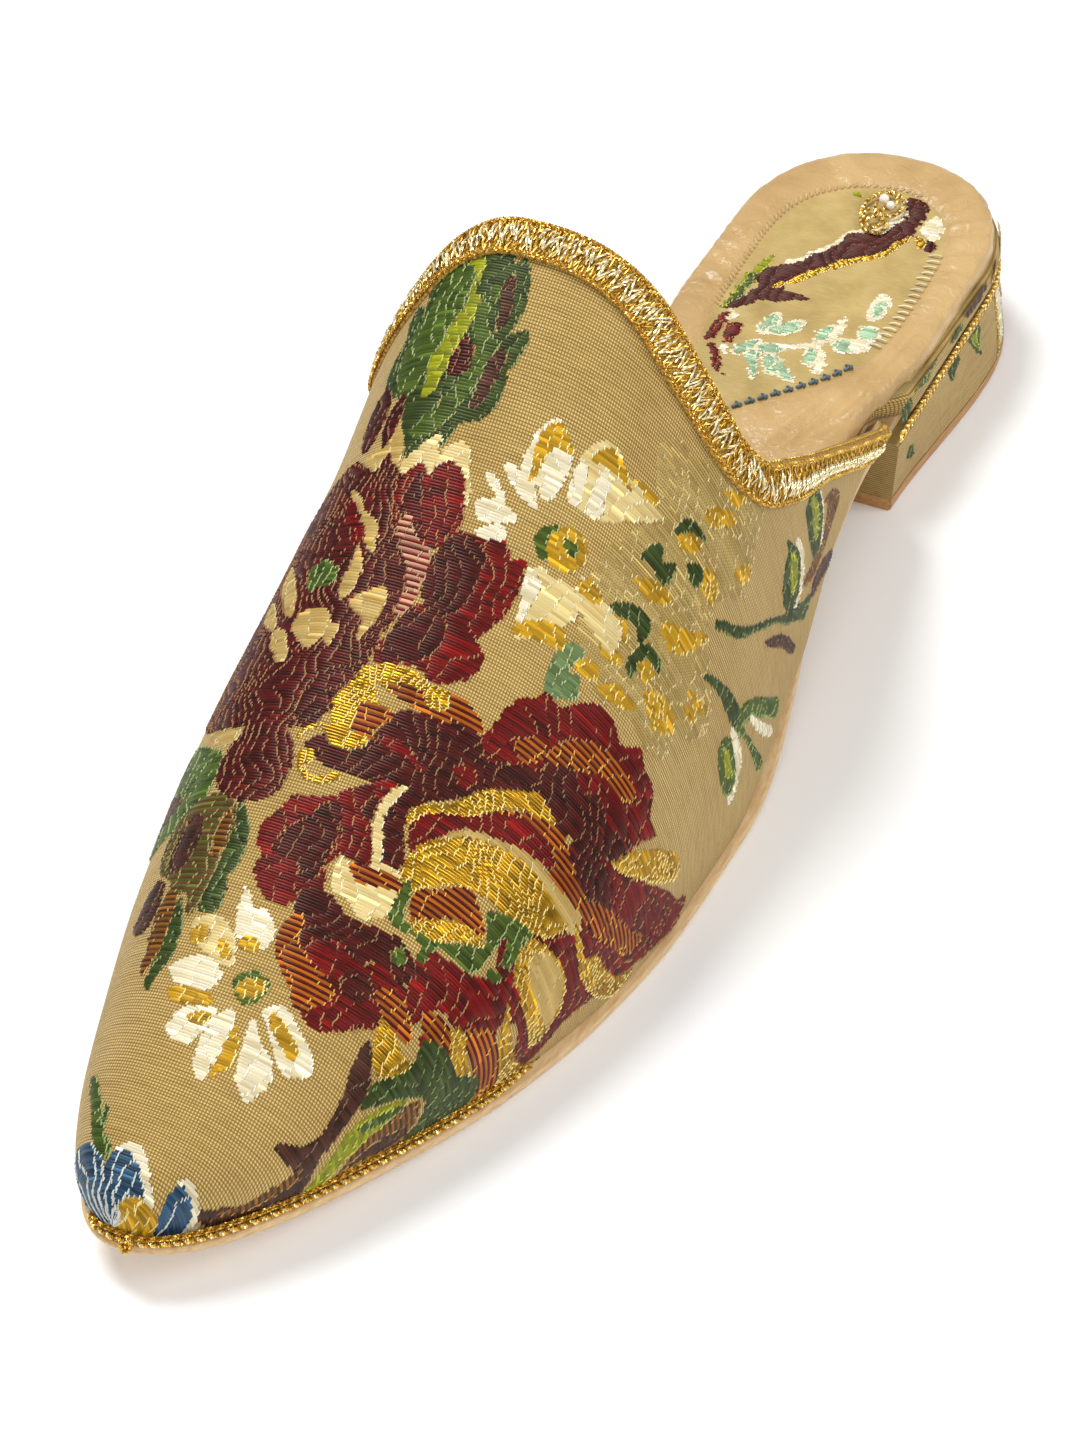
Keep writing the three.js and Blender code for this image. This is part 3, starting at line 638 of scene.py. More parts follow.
STEM_AND_LEAVES = [
    ("dark_green", "26.5,31 28,33 31,37 31,40.5 36,42 40,42 46,45.5 51,43 48,38 45,34 42,33 40,36 "
     "37,36.5 33,34 28.5,29.5 27,28.5"),
    ("tobacco", "35,21 33.5,23.5 32,26 32.5,29 33.5,32 36.5,36 41,34 42,32 40,27.5 37,23.5"),
    ("gold", "36,22 35,24 36,27 39,30.5 40,30 38,26 37,23.5"),
    ("brown", "34,25 34,28 37,32 40,34 40,31.5 37,28"),
    ("lime", "32,18.5 29.5,19.5 28,22 27.5,25 28.5,28 31,31.5 34,34.5 33.5,31.5 32,28 31.5,25.5 "
     "32,22.5 34,20.5"),
    ("moss", "28.5,27 31,30.5 34.5,34 33,31 31,28.5 29.5,27"),
    ("brown", "23,35 25,33.5 26.5,31 26.5,27 26,23 26,20.5 28,19.5 29.5,17.5 27,12.5 22,8.5 17,6 "
     "13,5.4 16,7.6 19.5,10.5 22,14 23.4,17.4 21,17.2 18.5,17 18.5,18.2 21.5,19.8 23.4,22.6 "
     "23.6,27 22.8,31"),
    ("tobacco", "17,7.6 20,11 22.6,15.6 24.4,18.6 25,16.6 22.6,12.4 20,9.4"),
]
FRONT_DAISY = [
    ("white", "-3,46.5 -1,45 0,44 1.5,44.3 3.5,43 4.5,41 4,39 2,38 0,38.5 -1.5,41 -2.5,43.5"),
    ("cream", "-8,40 -6,41.5 -3,41 -0.5,39 0.8,36 -1,35 -4,36 -6,37 -7.5,38.5"),
    ("yellow", "-7.5,38.5 -6,39.8 -4.5,38.5 -5.5,37 -7,37.3"),
    ("yellow", "0.2,39.8 2,40.3 3.5,39.3 2.5,38 0.6,38.2"),
    ("yellow", "-3,38.5 -1,38 0.2,36.3 -1.5,36.2"),
    ("white", "-8,33 -6,35 -3,35.5 0,34 -0.5,31.5 -3,30.7 -6,31"),
    ("yellow", "-6.5,30 -3,31 0,30.9 0.5,29.6 -2,28.8 -5,28.3"),
    ("white", "-4,26 -3,28 0,29 2,29 1.5,26 0,23.5 -2,23.3 -3.8,24.3"),
    ("yellow", "-1.8,27.3 0,28.3 1.6,28.3 1,26.8 -0.8,26.3"),
    ("white", "1.5,25 2.5,29 4,30 5,28 5,24 4.5,19.6 3,20.3 2,22"),
    ("yellow", "5.1,28 6.5,27 7.5,24 6.5,21.5 5.3,20.2 5.1,22"),
    ("white", "7,30 9,28 13,25 13,22 11.5,19.5 10,20.5 8.5,22 7.5,26"),
    ("white", "9,32.5 11,33 14,31 17,29 18,27 16,25.5 15,25 13,26 10,29 8,31"),
    ("yellow", "9.5,31.7 12,30.7 15,28.7 14.5,27.2 12,28.2 9.5,30"),
    ("moss", "2,34 3.5,35.7 6,35.6 7.4,34.7 7,32.5 5.5,31.2 3.5,31.6"),
    ("yellow", "2.8,33 4,34.7 6.5,35.2 7,33.5 6,32.4 4,32"),
]
DAISY_CLUSTER = [
    ("sheer", "30,124 33,127 37,127 41,130 46,131 51,134 56,136 57,131 58,126 57,122 52,119 50,114 "
     "57,108 59,106 55,101 50,99 50,95 46,92.5 40,93 35,91.5 31,93 27,97 26,103 28,110 33,117 "
     "31,121"),
    ("yellow", "42,123.5 45,126.3 50,128.5 49,126.5 44,123"),
    ("yellow", "45,128.5 48.5,131 51,132 49,129"),
    ("yellow", "53,123.6 56,126.5 58,127.2 57,124.6 54,122.9"),
    ("yellow", "26,117 29,118.6 33,118.7 30,116"),
    ("yellow", "33,108 37,110.4 41,110.3 37,107.6"),
    ("yellow", "40,107 45,109.7 51,113 47,107.7 43,105.3"),
    ("yellow", "45,118 48,119.6 50,118.6 49.5,116.3 46,115.8"),
    ("yellow", "41,98 46,100.3 50,99.6 47.5,96.3 44,96"),
    ("yellow", "30,101 34,102.6 35,100.5 32,99.3"),
    ("yellow", "28,93 31,95 33,94 31,92.3"),
    ("yellow", "33,92.3 36,95 41,95.2 38,93"),
    ("yellow", "50,104.6 54,106.4 57,106.8 54,104.4"),
    ("yellow", "50,102.4 53,104.2 54.5,104 53,102.3"),
    ("yellow", "31,97.3 34,98.6 36,97.6 33,96.4"),
    ("dark_green", "37,117.6 38.5,120 41,121.3 44,121.2 41.5,119.8 39,117.8"),
    ("yellow", "38,117.3 40,119.5 43.2,120 42,118 39.5,116.8"),
    ("dark_green", "41.5,116 44.5,118 45.7,116.6 43.5,114.8"),
    ("dark_green", "32.5,111 34,113.5 36,114.7 36.8,113 39.6,114.7 38.5,111 36.5,110.7 35,111.2"),
    ("dark_green", "30.5,102.5 33,104.6 36,105.7 38.6,105 37.5,101.8 35.5,103.4 33,102.5"),
    ("dark_green", "36.2,98 37,101 39,103 42,103.2 42.7,101.5 40,101.6 38.4,100 38,97.6"),
    ("yellow", "38.5,99.3 40,101.4 42.2,100.6 40.5,98.6"),
    ("sage", "24.8,89.5 25.5,92.5 27,95 29.5,95 28.3,92.7 28.2,91.2 30,92 30.7,89.5 28.5,87.6 26,86.8"),
    ("white", "10.5,113 11.5,117 13.5,119 15.5,118 17.5,116.5 17.5,112.5 16,109 13.5,110.5 "
     "12.5,110.3 11,111"),
    ("yellow", "11.7,116 13.5,118.8 16,117.7 17.5,116 14.2,115.6 13.2,111 12.2,110.5 12,113"),
    ("white", "8,111.2 10,111.4 14,109.6 15,107.3 12,108.2 9,110"),
    ("white", "5.8,109.5 8,109 10,107 9,106.6 7,108"),
    ("white", "6,105.5 9,106.5 12,105.8 12.7,104.8 9,103.3 7,103.6"),
    ("white", "7.5,101.8 11,103.8 12.2,102 9,101.2"),
    ("cream", "18,113 19,117 21,119.5 24,120 27,118 33,117.5 34.5,117 30,114 27,112 24,110.5 20,110.5"),
    ("white", "18.3,113 18.8,116 20.5,115 20.7,111 19,110.5"),
    ("white", "22,111 22,115 23.5,117 24.5,113 24,110.6"),
    ("yellow", "20.5,116.8 22,119.2 25,119 28,116.6 24,117.2"),
    ("cream", "16.5,99 18,100.8 21,100.8 24,101.2 26,99 25,96 22,93 19,91 18,93 17.5,96"),
    ("white", "16.6,98.8 18.3,100.3 19.6,98 19,94 18,92.6 17.6,96"),
    ("yellow", "18,92.5 21,94.7 25,95.7 26,93.2 22,92.4 19,91.4"),
    ("cream", "25,103 30,102.4 34,101 33,97.5 28,98.4 25,100"),
    ("yellow", "24.6,102 26,103.4 28.4,103 29,101.6 26,101"),
    ("moss", "16.2,104 17,106 18.5,106.8 20,106.4 19.5,103 18,102"),
    ("yellow", "18.3,105.5 20.5,107.7 23.5,107.4 24.7,105 23,102.4 20,102 18.5,103.5"),
    ("moss", "20.6,106 23,105.9 22.4,104.4 21,104.8"),
]
RIGHT_VINE = [
    ("dark_green", "51.5,115.6 54,117.4 58,119.6 62,122.4 66,125.8 71,130 76,134.5 79,139 82,142 "
     "85,147 86,143 82,138.5 78,134.5 72,130 66,124.6 60,119.3 55,116.5 52.5,115.2"),
    ("brown", "70,126 74,129.5 79,133.5 86,137.5 86,136 79,131.6 73,127.3"),
    ("moss", "66,112.4 69,117 74,121 80,125 86,129 87,127 80,122.5 74,118 70,114.6 75,116.2 80,118 "
     "87,121 87,119.2 80,116.8 74,115 69,112.6"),
    ("white", "72,117.6 77,119.9 82,122.8 87,125.6 87,124.4 82,121.2 77,118.7 73,117"),
    ("dark_green", "52.5,108.9 55,110.6 60,112.7 65,114.2 68,114.3 67,112 63,111 58,110.4 54,109"),
    ("white", "66,111.4 70,112.6 74,113 77,110.6 77,107.8 74,107.3 70,109"),
    ("moss", "64.3,107 66,110 70,110.9 75,110.2 75,107.7 71,106 67,105.8"),
    ("lime", "66,108.2 69,109.6 73,109.4 71.5,107.8 68.5,107.4"),
    ("white", "70,143 74,144.8 78,143.6 80,140 78,137.4 74,139"),
    ("dark_green", "67.4,139.8 70,141.4 72,142.8 76,142.6 79,139.8 77.5,136.4 75,134.6 72,134.8 "
     "70,137 69,139"),
    ("lime", "70,140 73,141.8 76.5,140.4 76,138 73,138.2"),
    ("white", "70,154 75,157.2 80,155.8 84,151.4 80,150"),
    ("dark_green", "66.3,151.3 69,153.4 73,156.2 78,156.2 82,151.6 79,149 74,148.2 70,148.2 69,150.8"),
    ("lime", "70,152 73,154.4 77,154 78,151.2 74,150.4"),
    ("tobacco", "79.5,143.4 80.5,150 81.5,156 78,160 76,158 78,164 82,167 84,160 84,152 82,146"),
    ("brown", "84,150 87,158 90,163 91,160 88,152 86,147"),
]
TOE_FLOWER = [
    ("white", "-2.5,5.8 -1,7.6 1,7.8 3,6 5,3.4 6.4,1.6 6.2,0.4 3,0.4 -1,3"),
    ("blue", "-13,5.2 -11,6.4 -8,6.6 -6,6.2 -3.4,4.8 -3,3 -3,1 -3,0.1 -20,0.1 -20,2 -15,3.6"),
    ("blue", "-2.4,5.6 -1,6.5 0.5,6.2 2.4,4.8 3.6,3.2 4.6,1.6 5.2,0.1 -3,0.1 -2.8,3"),
    ("blue", "4,0.1 5,1.2 8,2.2 12,2 16,1.6 20,0.6 20,0.1"),
    ("white", "8,6 9.5,7 12,6.2 15,5.2 18,5.4 19,3.4 15,2.6 9,4.6"),
    ("blue", "7.6,5 9.2,6 12.6,5 15,3.6 15.6,1.6 12,1 8,1.6"),
    ("yellow", "1,0.1 2,1.6 4,2.2 6,1.9 8,2 10,1.4 13,1.8 15.6,1.2 17,0.5 15,0.1 9,0.1"),
    ("blue", "10,0.5 11.6,0.9 13,0.5 11.4,0.2"),
    ("moss", "-13.5,17 -12,17 -9.4,14.3 -7.6,12 -6,9.6 -4.2,7.4 -2.8,6 -3.2,4.6 -5.6,5.8 -7.8,8.5 "
     "-10,12 -12.4,15"),
    ("dark_green", "-7,12.6 -6,11.6 -5.6,9.2 -6.4,9.8"),
]
LEFT_LEAVES = [
    ("moss", "-40,68 -30,70 -22,67 -18,65.4 -17,62 -17.5,58 -21,55 -30,54 -38,60"),
    ("brown", "-38,62 -30,62.5 -24,60 -26,58.4 -32,58"),
    ("dark_green", "-10,57.5 -8.5,57 -6.5,54.5 -5.5,51 -5.8,48 -7.5,47.7 -9.5,49.5 -10,54"),
    ("dark_green", "-9.5,49.5 -7,48 -5.3,45 -5.3,42 -7,41.4 -8.5,42 -9.6,45"),
    ("olive", "-20,57.5 -15,59 -11,58 -9.2,55 -8.7,50 -8.6,45 -8.8,41 -10,41 -11.5,44 -14,43 "
     "-16.5,46 -20,48 -22,53"),
    ("brown", "-18,56 -15,55 -14,50 -16,47 -19,50"),
    ("tobacco", "-10.8,57 -9.4,54 -9,50 -10.6,50 -11.8,54"),
    ("tobacco", "-15,45 -12.5,42.7 -11.5,38 -11.5,33 -12,31 -13.5,33 -14.5,37 -15.7,41"),
    ("dark_green", "-12.5,43.2 -10.5,41 -9,38 -8.7,34.5 -9.6,30.5 -10,29.2 -11.3,31 -11.3,36"),
    ("brown", "-20,46 -17,45.5 -15.8,42 -16,39 -18,38 -20.5,40"),
]


def rimmed(figure, yarn, rim, grow):
    """Lays a rim of another yarn under every patch of one yarn."""
    out = []
    for name, points in figure:
        if name == yarn:
            p = np.array(points)
            out.append((rim, [tuple(q) for q in p.mean(0) + (p - p.mean(0)) * grow]))
        out.append((name, points))
    return out


def moved(figure, shift_u, shift_s, mirror=1, scale=1.0):
    """The same woven figure at its next place in the cloth's repeat."""
    out = []
    for yarn, text in figure:
        points = [tuple(float(v) for v in pair.split(",")) for pair in text.split()]
        out.append((yarn, [(mirror * u * scale + shift_u, s * scale + shift_s) for u, s in points]))
    return out


FIGURES = [
    *moved(DAISY_CLUSTER, -36, 14, -1),
    *moved(FRONT_DAISY, -46, 6, -1),
    *moved(RIGHT_VINE, 6, 2, -1),
    *moved(LEFT_LEAVES, 0, 0),
    *moved(LEAF_AT_THROAT, 0, 0),
    *moved(BACK_ROSE, 0, 0),
    *moved(DAISY_CLUSTER, 0, 0),
    *moved(FRONT_ROSE, 0, 0),
    *moved(YELLOW_PETAL, 0, 0),
    *moved(STEM_AND_LEAVES, 0, 0),
    *moved(FRONT_DAISY, 0, 0),
    *moved(RIGHT_VINE, 0, 0),
    *moved(TOE_FLOWER, 0, 0),
]


def rounded_outline(points, steps=5):
    """A closed smooth line through charted points."""
    p = np.asarray(points, float)
    a, b, c, d = np.roll(p, 1, 0), p, np.roll(p, -1, 0), np.roll(p, -2, 0)
    t = (np.arange(steps) / steps)[:, None, None]
    curve = 0.5 * (2 * b + (c - a) * t + (2 * a - 5 * b + 4 * c - d) * t**2 + (3 * b - a - 3 * c + d) * t**3)
    return curve.transpose(1, 0, 2).reshape(-1, 2)


def inside(outline, u, s):
    """Which places lie within a closed outline."""
    hit = np.zeros(u.shape, bool)
    a, b = outline, np.roll(outline, -1, 0)
    for (ua, sa), (ub, sb) in zip(a, b):
        if sa == sb:
            continue
        crosses = (sa > s) != (sb > s)
        hit ^= crosses & (u < (ub - ua) * (s - sa) / (sb - sa) + ua)
    return hit


WEFT_PITCH = 0.42
STEP = 0.25


def weave_figures(figures, s_rows, u_line, lay, keep, names, tooth=0.12, rows_per_tooth=1):
    """Lays every weft float of the figures as a raised strip that dives into the cloth at each
    end, and the pale binding threads where floats meet."""
    rows, columns = len(s_rows), len(u_line)
    cloth = np.full((rows, columns), -1, int)
    teeth = rng.normal(0, tooth, rows // rows_per_tooth + 1).repeat(rows_per_tooth)[:rows, None]
    u_grid = np.broadcast_to(u_line, cloth.shape)
    s_grid = np.broadcast_to(s_rows[:, None], cloth.shape)
    for yarn, points in figures:
        outline = rounded_outline(points)
        low, high = outline.min(0), outline.max(0)
        r = slice(np.searchsorted(s_rows, low[1]), np.searchsorted(s_rows, high[1]))
        c = slice(np.searchsorted(u_line, low[0]), np.searchsorted(u_line, high[0]))
        if r.start >= r.stop or c.start >= c.stop:
            continue
        ragged = u_grid[r, c] + teeth[r]
        hit = inside(outline, ragged, s_grid[r, c])
        cloth[r, c] = np.where(hit, YARN_NAMES.index(yarn), cloth[r, c])
    cloth = np.where(keep(u_grid, s_grid), cloth, -1)

    index = np.arange(rows)
    zigzag = np.abs((index / 6.0) % 2 - 1) * 0.9
    wander = (
        1.5 * np.sin(0.31 * s_grid + 0.17 * u_grid)
        + 1.1 * np.sin(0.52 * s_grid - 0.29 * u_grid + 1.7)
        + 0.7 * np.sin(0.23 * s_grid + 0.61 * u_grid + 0.4)
    )
    longest = np.array([YARNS[n][3] for n in YARN_NAMES] + [5.0])[cloth]
    bound = np.floor((u_grid + wander + zigzag[:, None]) / longest).astype(int)
    key = cloth * 1000 + bound
    change = np.ones((rows, columns + 1), bool)
    change[:, 1:-1] = key[:, 1:] != key[:, :-1]
    row_at, edge_at = np.nonzero(change)
    same = row_at[:-1] == row_at[1:]
    row, first, last = row_at[:-1][same], edge_at[:-1][same], edge_at[1:][same]
    yarn = cloth[row, first]
    real = (yarn >= 0) & (last - first >= 2)
    sheer = YARN_NAMES.index("sheer")
    row, first, last, yarn = row[real], first[real], last[real], yarn[real]
    jitter = rng.uniform(-0.08, 0.08, (2, len(row)))
    u0 = u_line[first] - STEP / 2 + jitter[0]
    u1 = u_line[last - 1] + STEP / 2 + jitter[1]
    s = s_rows[row]

    dyes = np.array([[linear(YARNS[n][0]), linear(YARNS[n][1])] for n in YARN_NAMES])[..., :3]
    striped = np.array([YARNS[n][2] for n in YARN_NAMES])[yarn]
    which = np.where(striped, (row % 2).astype(float), rng.uniform(0, 1, len(row)) ** 1.3)[:, None]
    dye = dyes[yarn, 0] * (1 - which) + dyes[yarn, 1] * which
    pale_yarn = np.isin(yarn, [YARN_NAMES.index(n) for n in ("white", "cream", "straw", "sheer")])
    dye *= np.where(pale_yarn, rng.uniform(0.85, 1.08, len(row)), rng.uniform(0.65, 1.15, len(row)))[:, None]
    # painted highlight: seven floats in a hundred are made 1.7 times as bright
    dye *= np.where(rng.uniform(0, 1, (len(row), 1)) < 0.07, 1.7, 1.0)  # a loose float catches the light
    metal = np.isin(yarn, [YARN_NAMES.index(n) for n in ("gold",)])
    lift = np.where(yarn == sheer, 0.10, 0.24) * rng.uniform(0.85, 1.15, len(row))
    width = np.where(yarn == sheer, 0.55, 1.0) * np.gradient(s_rows)[row]
    made = []
    for part, material, chosen in (
        ("silk", silk_floss, ~metal & (np.arange(len(row)) % 2 == 0)),
        ("silk_between", silk_floss, ~metal & (np.arange(len(row)) % 2 == 1)),
        ("lurex", lurex, metal),
    ):
        if not chosen.any():
            continue
        made.append(
            float_strips(
                names + "_" + part,
                *(v[chosen] for v in (u0, u1, s, lift, width, dye)),
                lay,
                material,
            )
        )
    # binding stitches at the joins of floats
    chance = np.array([YARNS[n][4] for n in YARN_NAMES])[yarn]
    shown = rng.uniform(0, 1, len(row)) < chance
    pale = np.array([linear(YARNS[n][5]) for n in YARN_NAMES])[yarn][:, :3]
    pale = pale * rng.uniform(0.75, 1.1, (len(row), 1))
    made.append(binding_stitches(names + "_binding", u1[shown], s[shown], pale[shown], lay))
    return made


def float_strips(name, u0, u1, s, lift, width, dye, lay, material):
    points, faces, dyes, count = [], [], [], 0
    stations = np.clip(np.ceil((u1 - u0) / 1.2).astype(int) + 1, 3, 9)
    for n in np.unique(stations):
        m = stations == n
        t = np.linspace(0, 1, n)[None]
        u = u0[m][:, None] + (u1 - u0)[m][:, None] * t
        arch = np.sin(np.pi * np.clip(t, 0.0, 1.0)) ** 0.45
        ss = np.broadcast_to(s[m][:, None], u.shape)
        half = 0.52 * width[m][:, None]
        low = lay(u, ss - half, np.broadcast_to(0.02 + 0.04 * arch, u.shape))
        middle = lay(u, ss, 0.03 + lift[m][:, None] * arch)
        high = lay(u, ss + half, np.broadcast_to(0.02 + 0.04 * arch, u.shape))
        block = np.stack([low, middle, high], 2)  # floats, stations, 3, xyz
        amount = len(u)
        base = count + np.arange(amount)[:, None, None] * (n * 3)
        k = np.arange(n - 1)[None, :, None] * 3
        c = np.arange(2)[None, None, :]
        a = base + k + c
        faces.append(np.stack([a, a + 3, a + 4, a + 1], -1).reshape(-1, 4))
        points.append(block.reshape(-1, 3))
        dyes.append(np.repeat(dye[m], n * 3, 0))
        count += amount * n * 3
    dyes = np.concatenate(dyes)
    dyes = np.concatenate([dyes, np.ones((len(dyes), 1))], 1)
    return new_piece(name, np.concatenate(points), np.concatenate(faces), material, dyes)


def binding_stitches(name, u, s, dye, lay):
    half_u, half_s = 0.10, 0.25
    slant = rng.uniform(-0.1, 0.1, len(u))
    corners = [
        lay(u - half_u - slant, s - half_s, 0.1),
        lay(u - slant * 0.2, s, 0.3),
        lay(u - half_u + slant, s + half_s, 0.1),
        lay(u + half_u - slant, s - half_s, 0.1),
        lay(u + half_u + slant, s + half_s, 0.1),
    ]
    points = np.stack(corners, 1).reshape(-1, 3)
    base = np.arange(len(u))[:, None] * 5
    faces = np.concatenate([base + np.array(f)[None] for f in ([0, 3, 1], [3, 4, 1], [4, 2, 1], [2, 0, 1])])
    dyes = np.repeat(np.concatenate([dye, np.ones((len(dye), 1))], 1), 5, 0)
    return new_piece(name, points, faces, binding_silk, dyes)


def on_upper(u, s):
    """Cloth that shows: below the topline and above the feather line."""
    g = girth_of(u, s)
    z = upper_face(s, g)[..., 2]
    return (s < topline_station(z) - 2.5) & (np.abs(g) < 0.97)


def chart_rows():
    """Rows one weft apart, closer in s where the toe rounds down."""
    round_toe = (0.0815 * np.arange(1, 32)) ** 2
    return np.concatenate([round_toe, np.arange(round_toe[-1] + WEFT_PITCH, 196, WEFT_PITCH)])


weave_figures(FIGURES, chart_rows(), np.arange(-110.0, 110.0, STEP), lay_on_upper, on_upper, "upper_figure")

# ---------------------------------------------------------------- tubes, twisted cords and strips
def frames_along(path, closed=False):
    """Unit tangents of a path of points and two unit sides that turn with it as little as can be."""
    path = np.asarray(path, float)
    if closed:
        tangent = unit(np.roll(path, -1, 0) - np.roll(path, 1, 0))
    else:
        tangent = unit(np.gradient(path, axis=0))
    side = np.cross(tangent[0], [0.0, 0.0, 1.0])
    if np.linalg.norm(side) < 0.1:
        side = np.cross(tangent[0], [1.0, 0.0, 0.0])
    sides = []
    for t in tangent:
        side = side - t * (side @ t)
        side = side / np.linalg.norm(side)
        sides.append(side)
    sides = np.array(sides)
    return tangent, sides, np.cross(tangent, sides)


def spaced(path, step):
    """The same path with points an even step apart."""
    path = np.asarray(path, float)
    arc = np.concatenate([[0], np.cumsum(np.linalg.norm(np.diff(path, axis=0), axis=1))])
    n = max(int(arc[-1] / step), 2)
    at = np.linspace(0, arc[-1], n + 1)
    return np.stack([np.interp(at, arc, path[:, k]) for k in range(3)], -1), at


def soft_path(points, step=0.4):
    """A smooth open path through a few points."""
    p = np.asarray(points, float)
    p = np.concatenate([[2 * p[0] - p[1]], p, [2 * p[-1] - p[-2]]])
    t = (np.arange(12) / 12)[:, None, None]
    a, b, c, d = p[:-3], p[1:-2], p[2:-1], p[3:]
    curve = 0.5 * (2 * b + (c - a) * t + (2 * a - 5 * b + 4 * c - d) * t**2 + (3 * b - a - 3 * c + d) * t**3)
    curve = curve.transpose(1, 0, 2).reshape(-1, 3)
    return spaced(np.concatenate([curve, p[-2:-1]]), step)[0]


class Parts:
    """Gathers many small tubes and strips of one material into one mesh."""

    def __init__(self):
        self.points, self.faces, self.dyes, self.count = [], [], [], 0

    def add(self, points, faces, colour, shade=1.0):
        points = np.asarray(points).reshape(-1, 3)
        self.points.append(points)
        self.faces.append(np.asarray(faces) + self.count)
        dye = np.ones((len(points), 4))
        dye[:, :3] = np.array(linear(colour)[:3]) * shade
        self.dyes.append(dye)
        self.count += len(points)

    def tube(self, path, radius, sides, colour, turn=0.0, flatten=1.0, shade=1.0, closed=False):
        """A round or flattened thread along a path; turn twists its section, in radians per point."""
        path = np.asarray(path, float)
        n = len(path)
        _, a, b = frames_along(path, closed)
        k = np.arange(n)[:, None]
        angle = 2 * np.pi * np.arange(sides) / sides + turn * k
        r = np.broadcast_to(np.asarray(radius, float).reshape(-1, 1), (n, 1))
        ring = path[:, None] + (
            a[:, None] * (np.cos(angle) * r)[..., None]
            + b[:, None] * (np.sin(angle) * r * flatten)[..., None]
        )
        i = np.arange(n if closed else n - 1)[:, None]
        j = np.arange(sides)[None]
        i2, j2 = (i + 1) % n, (j + 1) % sides
        faces = np.stack([i * sides + j, i * sides + j2, i2 * sides + j2, i2 * sides + j], -1).reshape(-1, 4)
        points = ring.reshape(-1, 3)
        if not closed:
            points = np.concatenate([points, path[:1], path[-1:]])
            j = np.arange(sides)
            first = np.stack([np.full(sides, n * sides), (j + 1) % sides, j, j], -1)
            last = (n - 1) * sides
            onward = last + (j + 1) % sides
            final = np.stack([np.full(sides, n * sides + 1), last + j, onward, onward], -1)
            faces = np.concatenate([faces, first, final])
        self.add(points, faces, colour, shade)

    def strand_cord(self, path, radius, colours, pitch, sides=5, step=0.3, own_turn=1.1, twist=1):
        """A cord of strands laid round one another, one strand to each colour."""
        path, at = spaced(path, step)
        _, a, b = frames_along(path)
        strands = len(colours)
        strand_radius = radius * (0.5 if strands < 4 else 0.42)
        for k, colour in enumerate(colours):
            angle = twist * 2 * np.pi * (at / pitch + k / strands)
            away = radius - strand_radius
            line = path + a * (np.cos(angle) * away)[:, None] + b * (np.sin(angle) * away)[:, None]
            self.tube(line, strand_radius, sides, colour, own_turn)

    def piece(self, name, material, slot, smooth_faces=False):
        every = np.concatenate(self.faces).tolist()
        faces = [[v for i, v in enumerate(f) if i == 0 or v != f[i - 1]] for f in every]
        return new_piece(
            name, np.concatenate(self.points), faces, material, np.concatenate(self.dyes), smooth_faces
        )


metal_thread = thread_material("gilt_metal_thread", 0.30, 0.9)
ecru_thread = thread_material("ecru_linen_thread", 0.6, 0.0)

GOLD_DYES = ("#DCB04C", "#BE9030", "#EECB74")
PALE_GOLD = "#FFF0C0"
# two gold dyes; the pale third strand stands in for the cord's glints as a painted highlight
CORD_DYES_AND_GLINT = ("#E6BC58", "#B88A2C", "#FFF0B4")
DULL_GOLD_DYES = ("#C89A3C", "#A27422", "#E2B858")

# ---------------------------------------------------------------- the braid along the topline
BRAID_WIDTH = 6.5
BRAID_REACH = 0.78
BRAID_STEPS = 12
BRAID_STRIDE = 0.5
WING_NARROWING = 0.31  # share of its width that the braid loses along the wings
WING_BRAID = 62.0  # along each end of the braid, where the pale bars keep to its lower half


def walk(s, girth, way, distance, steps=6):
    """Goes over the upper's face from (s, girth), the given way and distance."""
    here, g = s.copy(), girth.copy()
    ds, dg = 0.2, 0.004
    for _ in range(steps):
        p = upper_face(here, g)
        ps = (upper_face(here + ds, g) - p) / ds
        pg = (upper_face(here, g + dg) - p) / dg
        a, b, c = (ps * ps).sum(-1), (ps * pg).sum(-1), (pg * pg).sum(-1)
        step = way * (distance / steps)
        u, v = (step * ps).sum(-1), (step * pg).sum(-1)
        det = a * c - b * b
        here = here + (u * c - v * b) / det
        g = np.clip(g + (v * a - u * b) / det, -BRAID_REACH, BRAID_REACH)
    return here, g


def braid_table():
    """Points and normals of the cloth under the braid, along its length and across it."""
    g = 0.95 * BRAID_REACH * np.linspace(-1, 1, 1601)
    s = topline_of(g)
    at = upper_face(s, g)
    arc = np.concatenate([[0], np.cumsum(np.linalg.norm(np.diff(at, axis=0), axis=1))])
    even = np.linspace(0, arc[-1], int(arc[-1] / BRAID_STRIDE) + 1)
    g = np.interp(even, arc, g)
    s = topline_of(g)
    at = upper_face(s, g)
    along = unit(np.gradient(at, axis=0))
    kernel = np.hanning(15)
    kernel /= kernel.sum()
    padded_along = np.pad(along, ((7, 7), (0, 0)), mode="edge")
    along = unit(np.stack([np.convolve(padded_along[:, k], kernel, "valid") for k in range(3)], -1))
    normal = upper_normal(s, g)
    inward = unit(np.cross(normal, along))
    outwards = (inward[:, 1] > 0) & (inward[:, 2] > 0)
    inward[outwards] *= -1
    width = (1 - WING_NARROWING * smooth(146, 162, s))[:, None]
    points, normals = [], []
    for distance in np.linspace(0, BRAID_WIDTH, BRAID_STEPS + 1):
        ws, wg = walk(s, g, inward, distance * width)
        points.append(upper_face(ws, wg))
        normals.append(upper_normal(ws, wg))
    return even, np.stack(points, 1), np.stack(normals, 1)


BRAID_ALONG, BRAID_POINTS, BRAID_NORMALS = braid_table()
BRAID_LENGTH = BRAID_ALONG[-1]


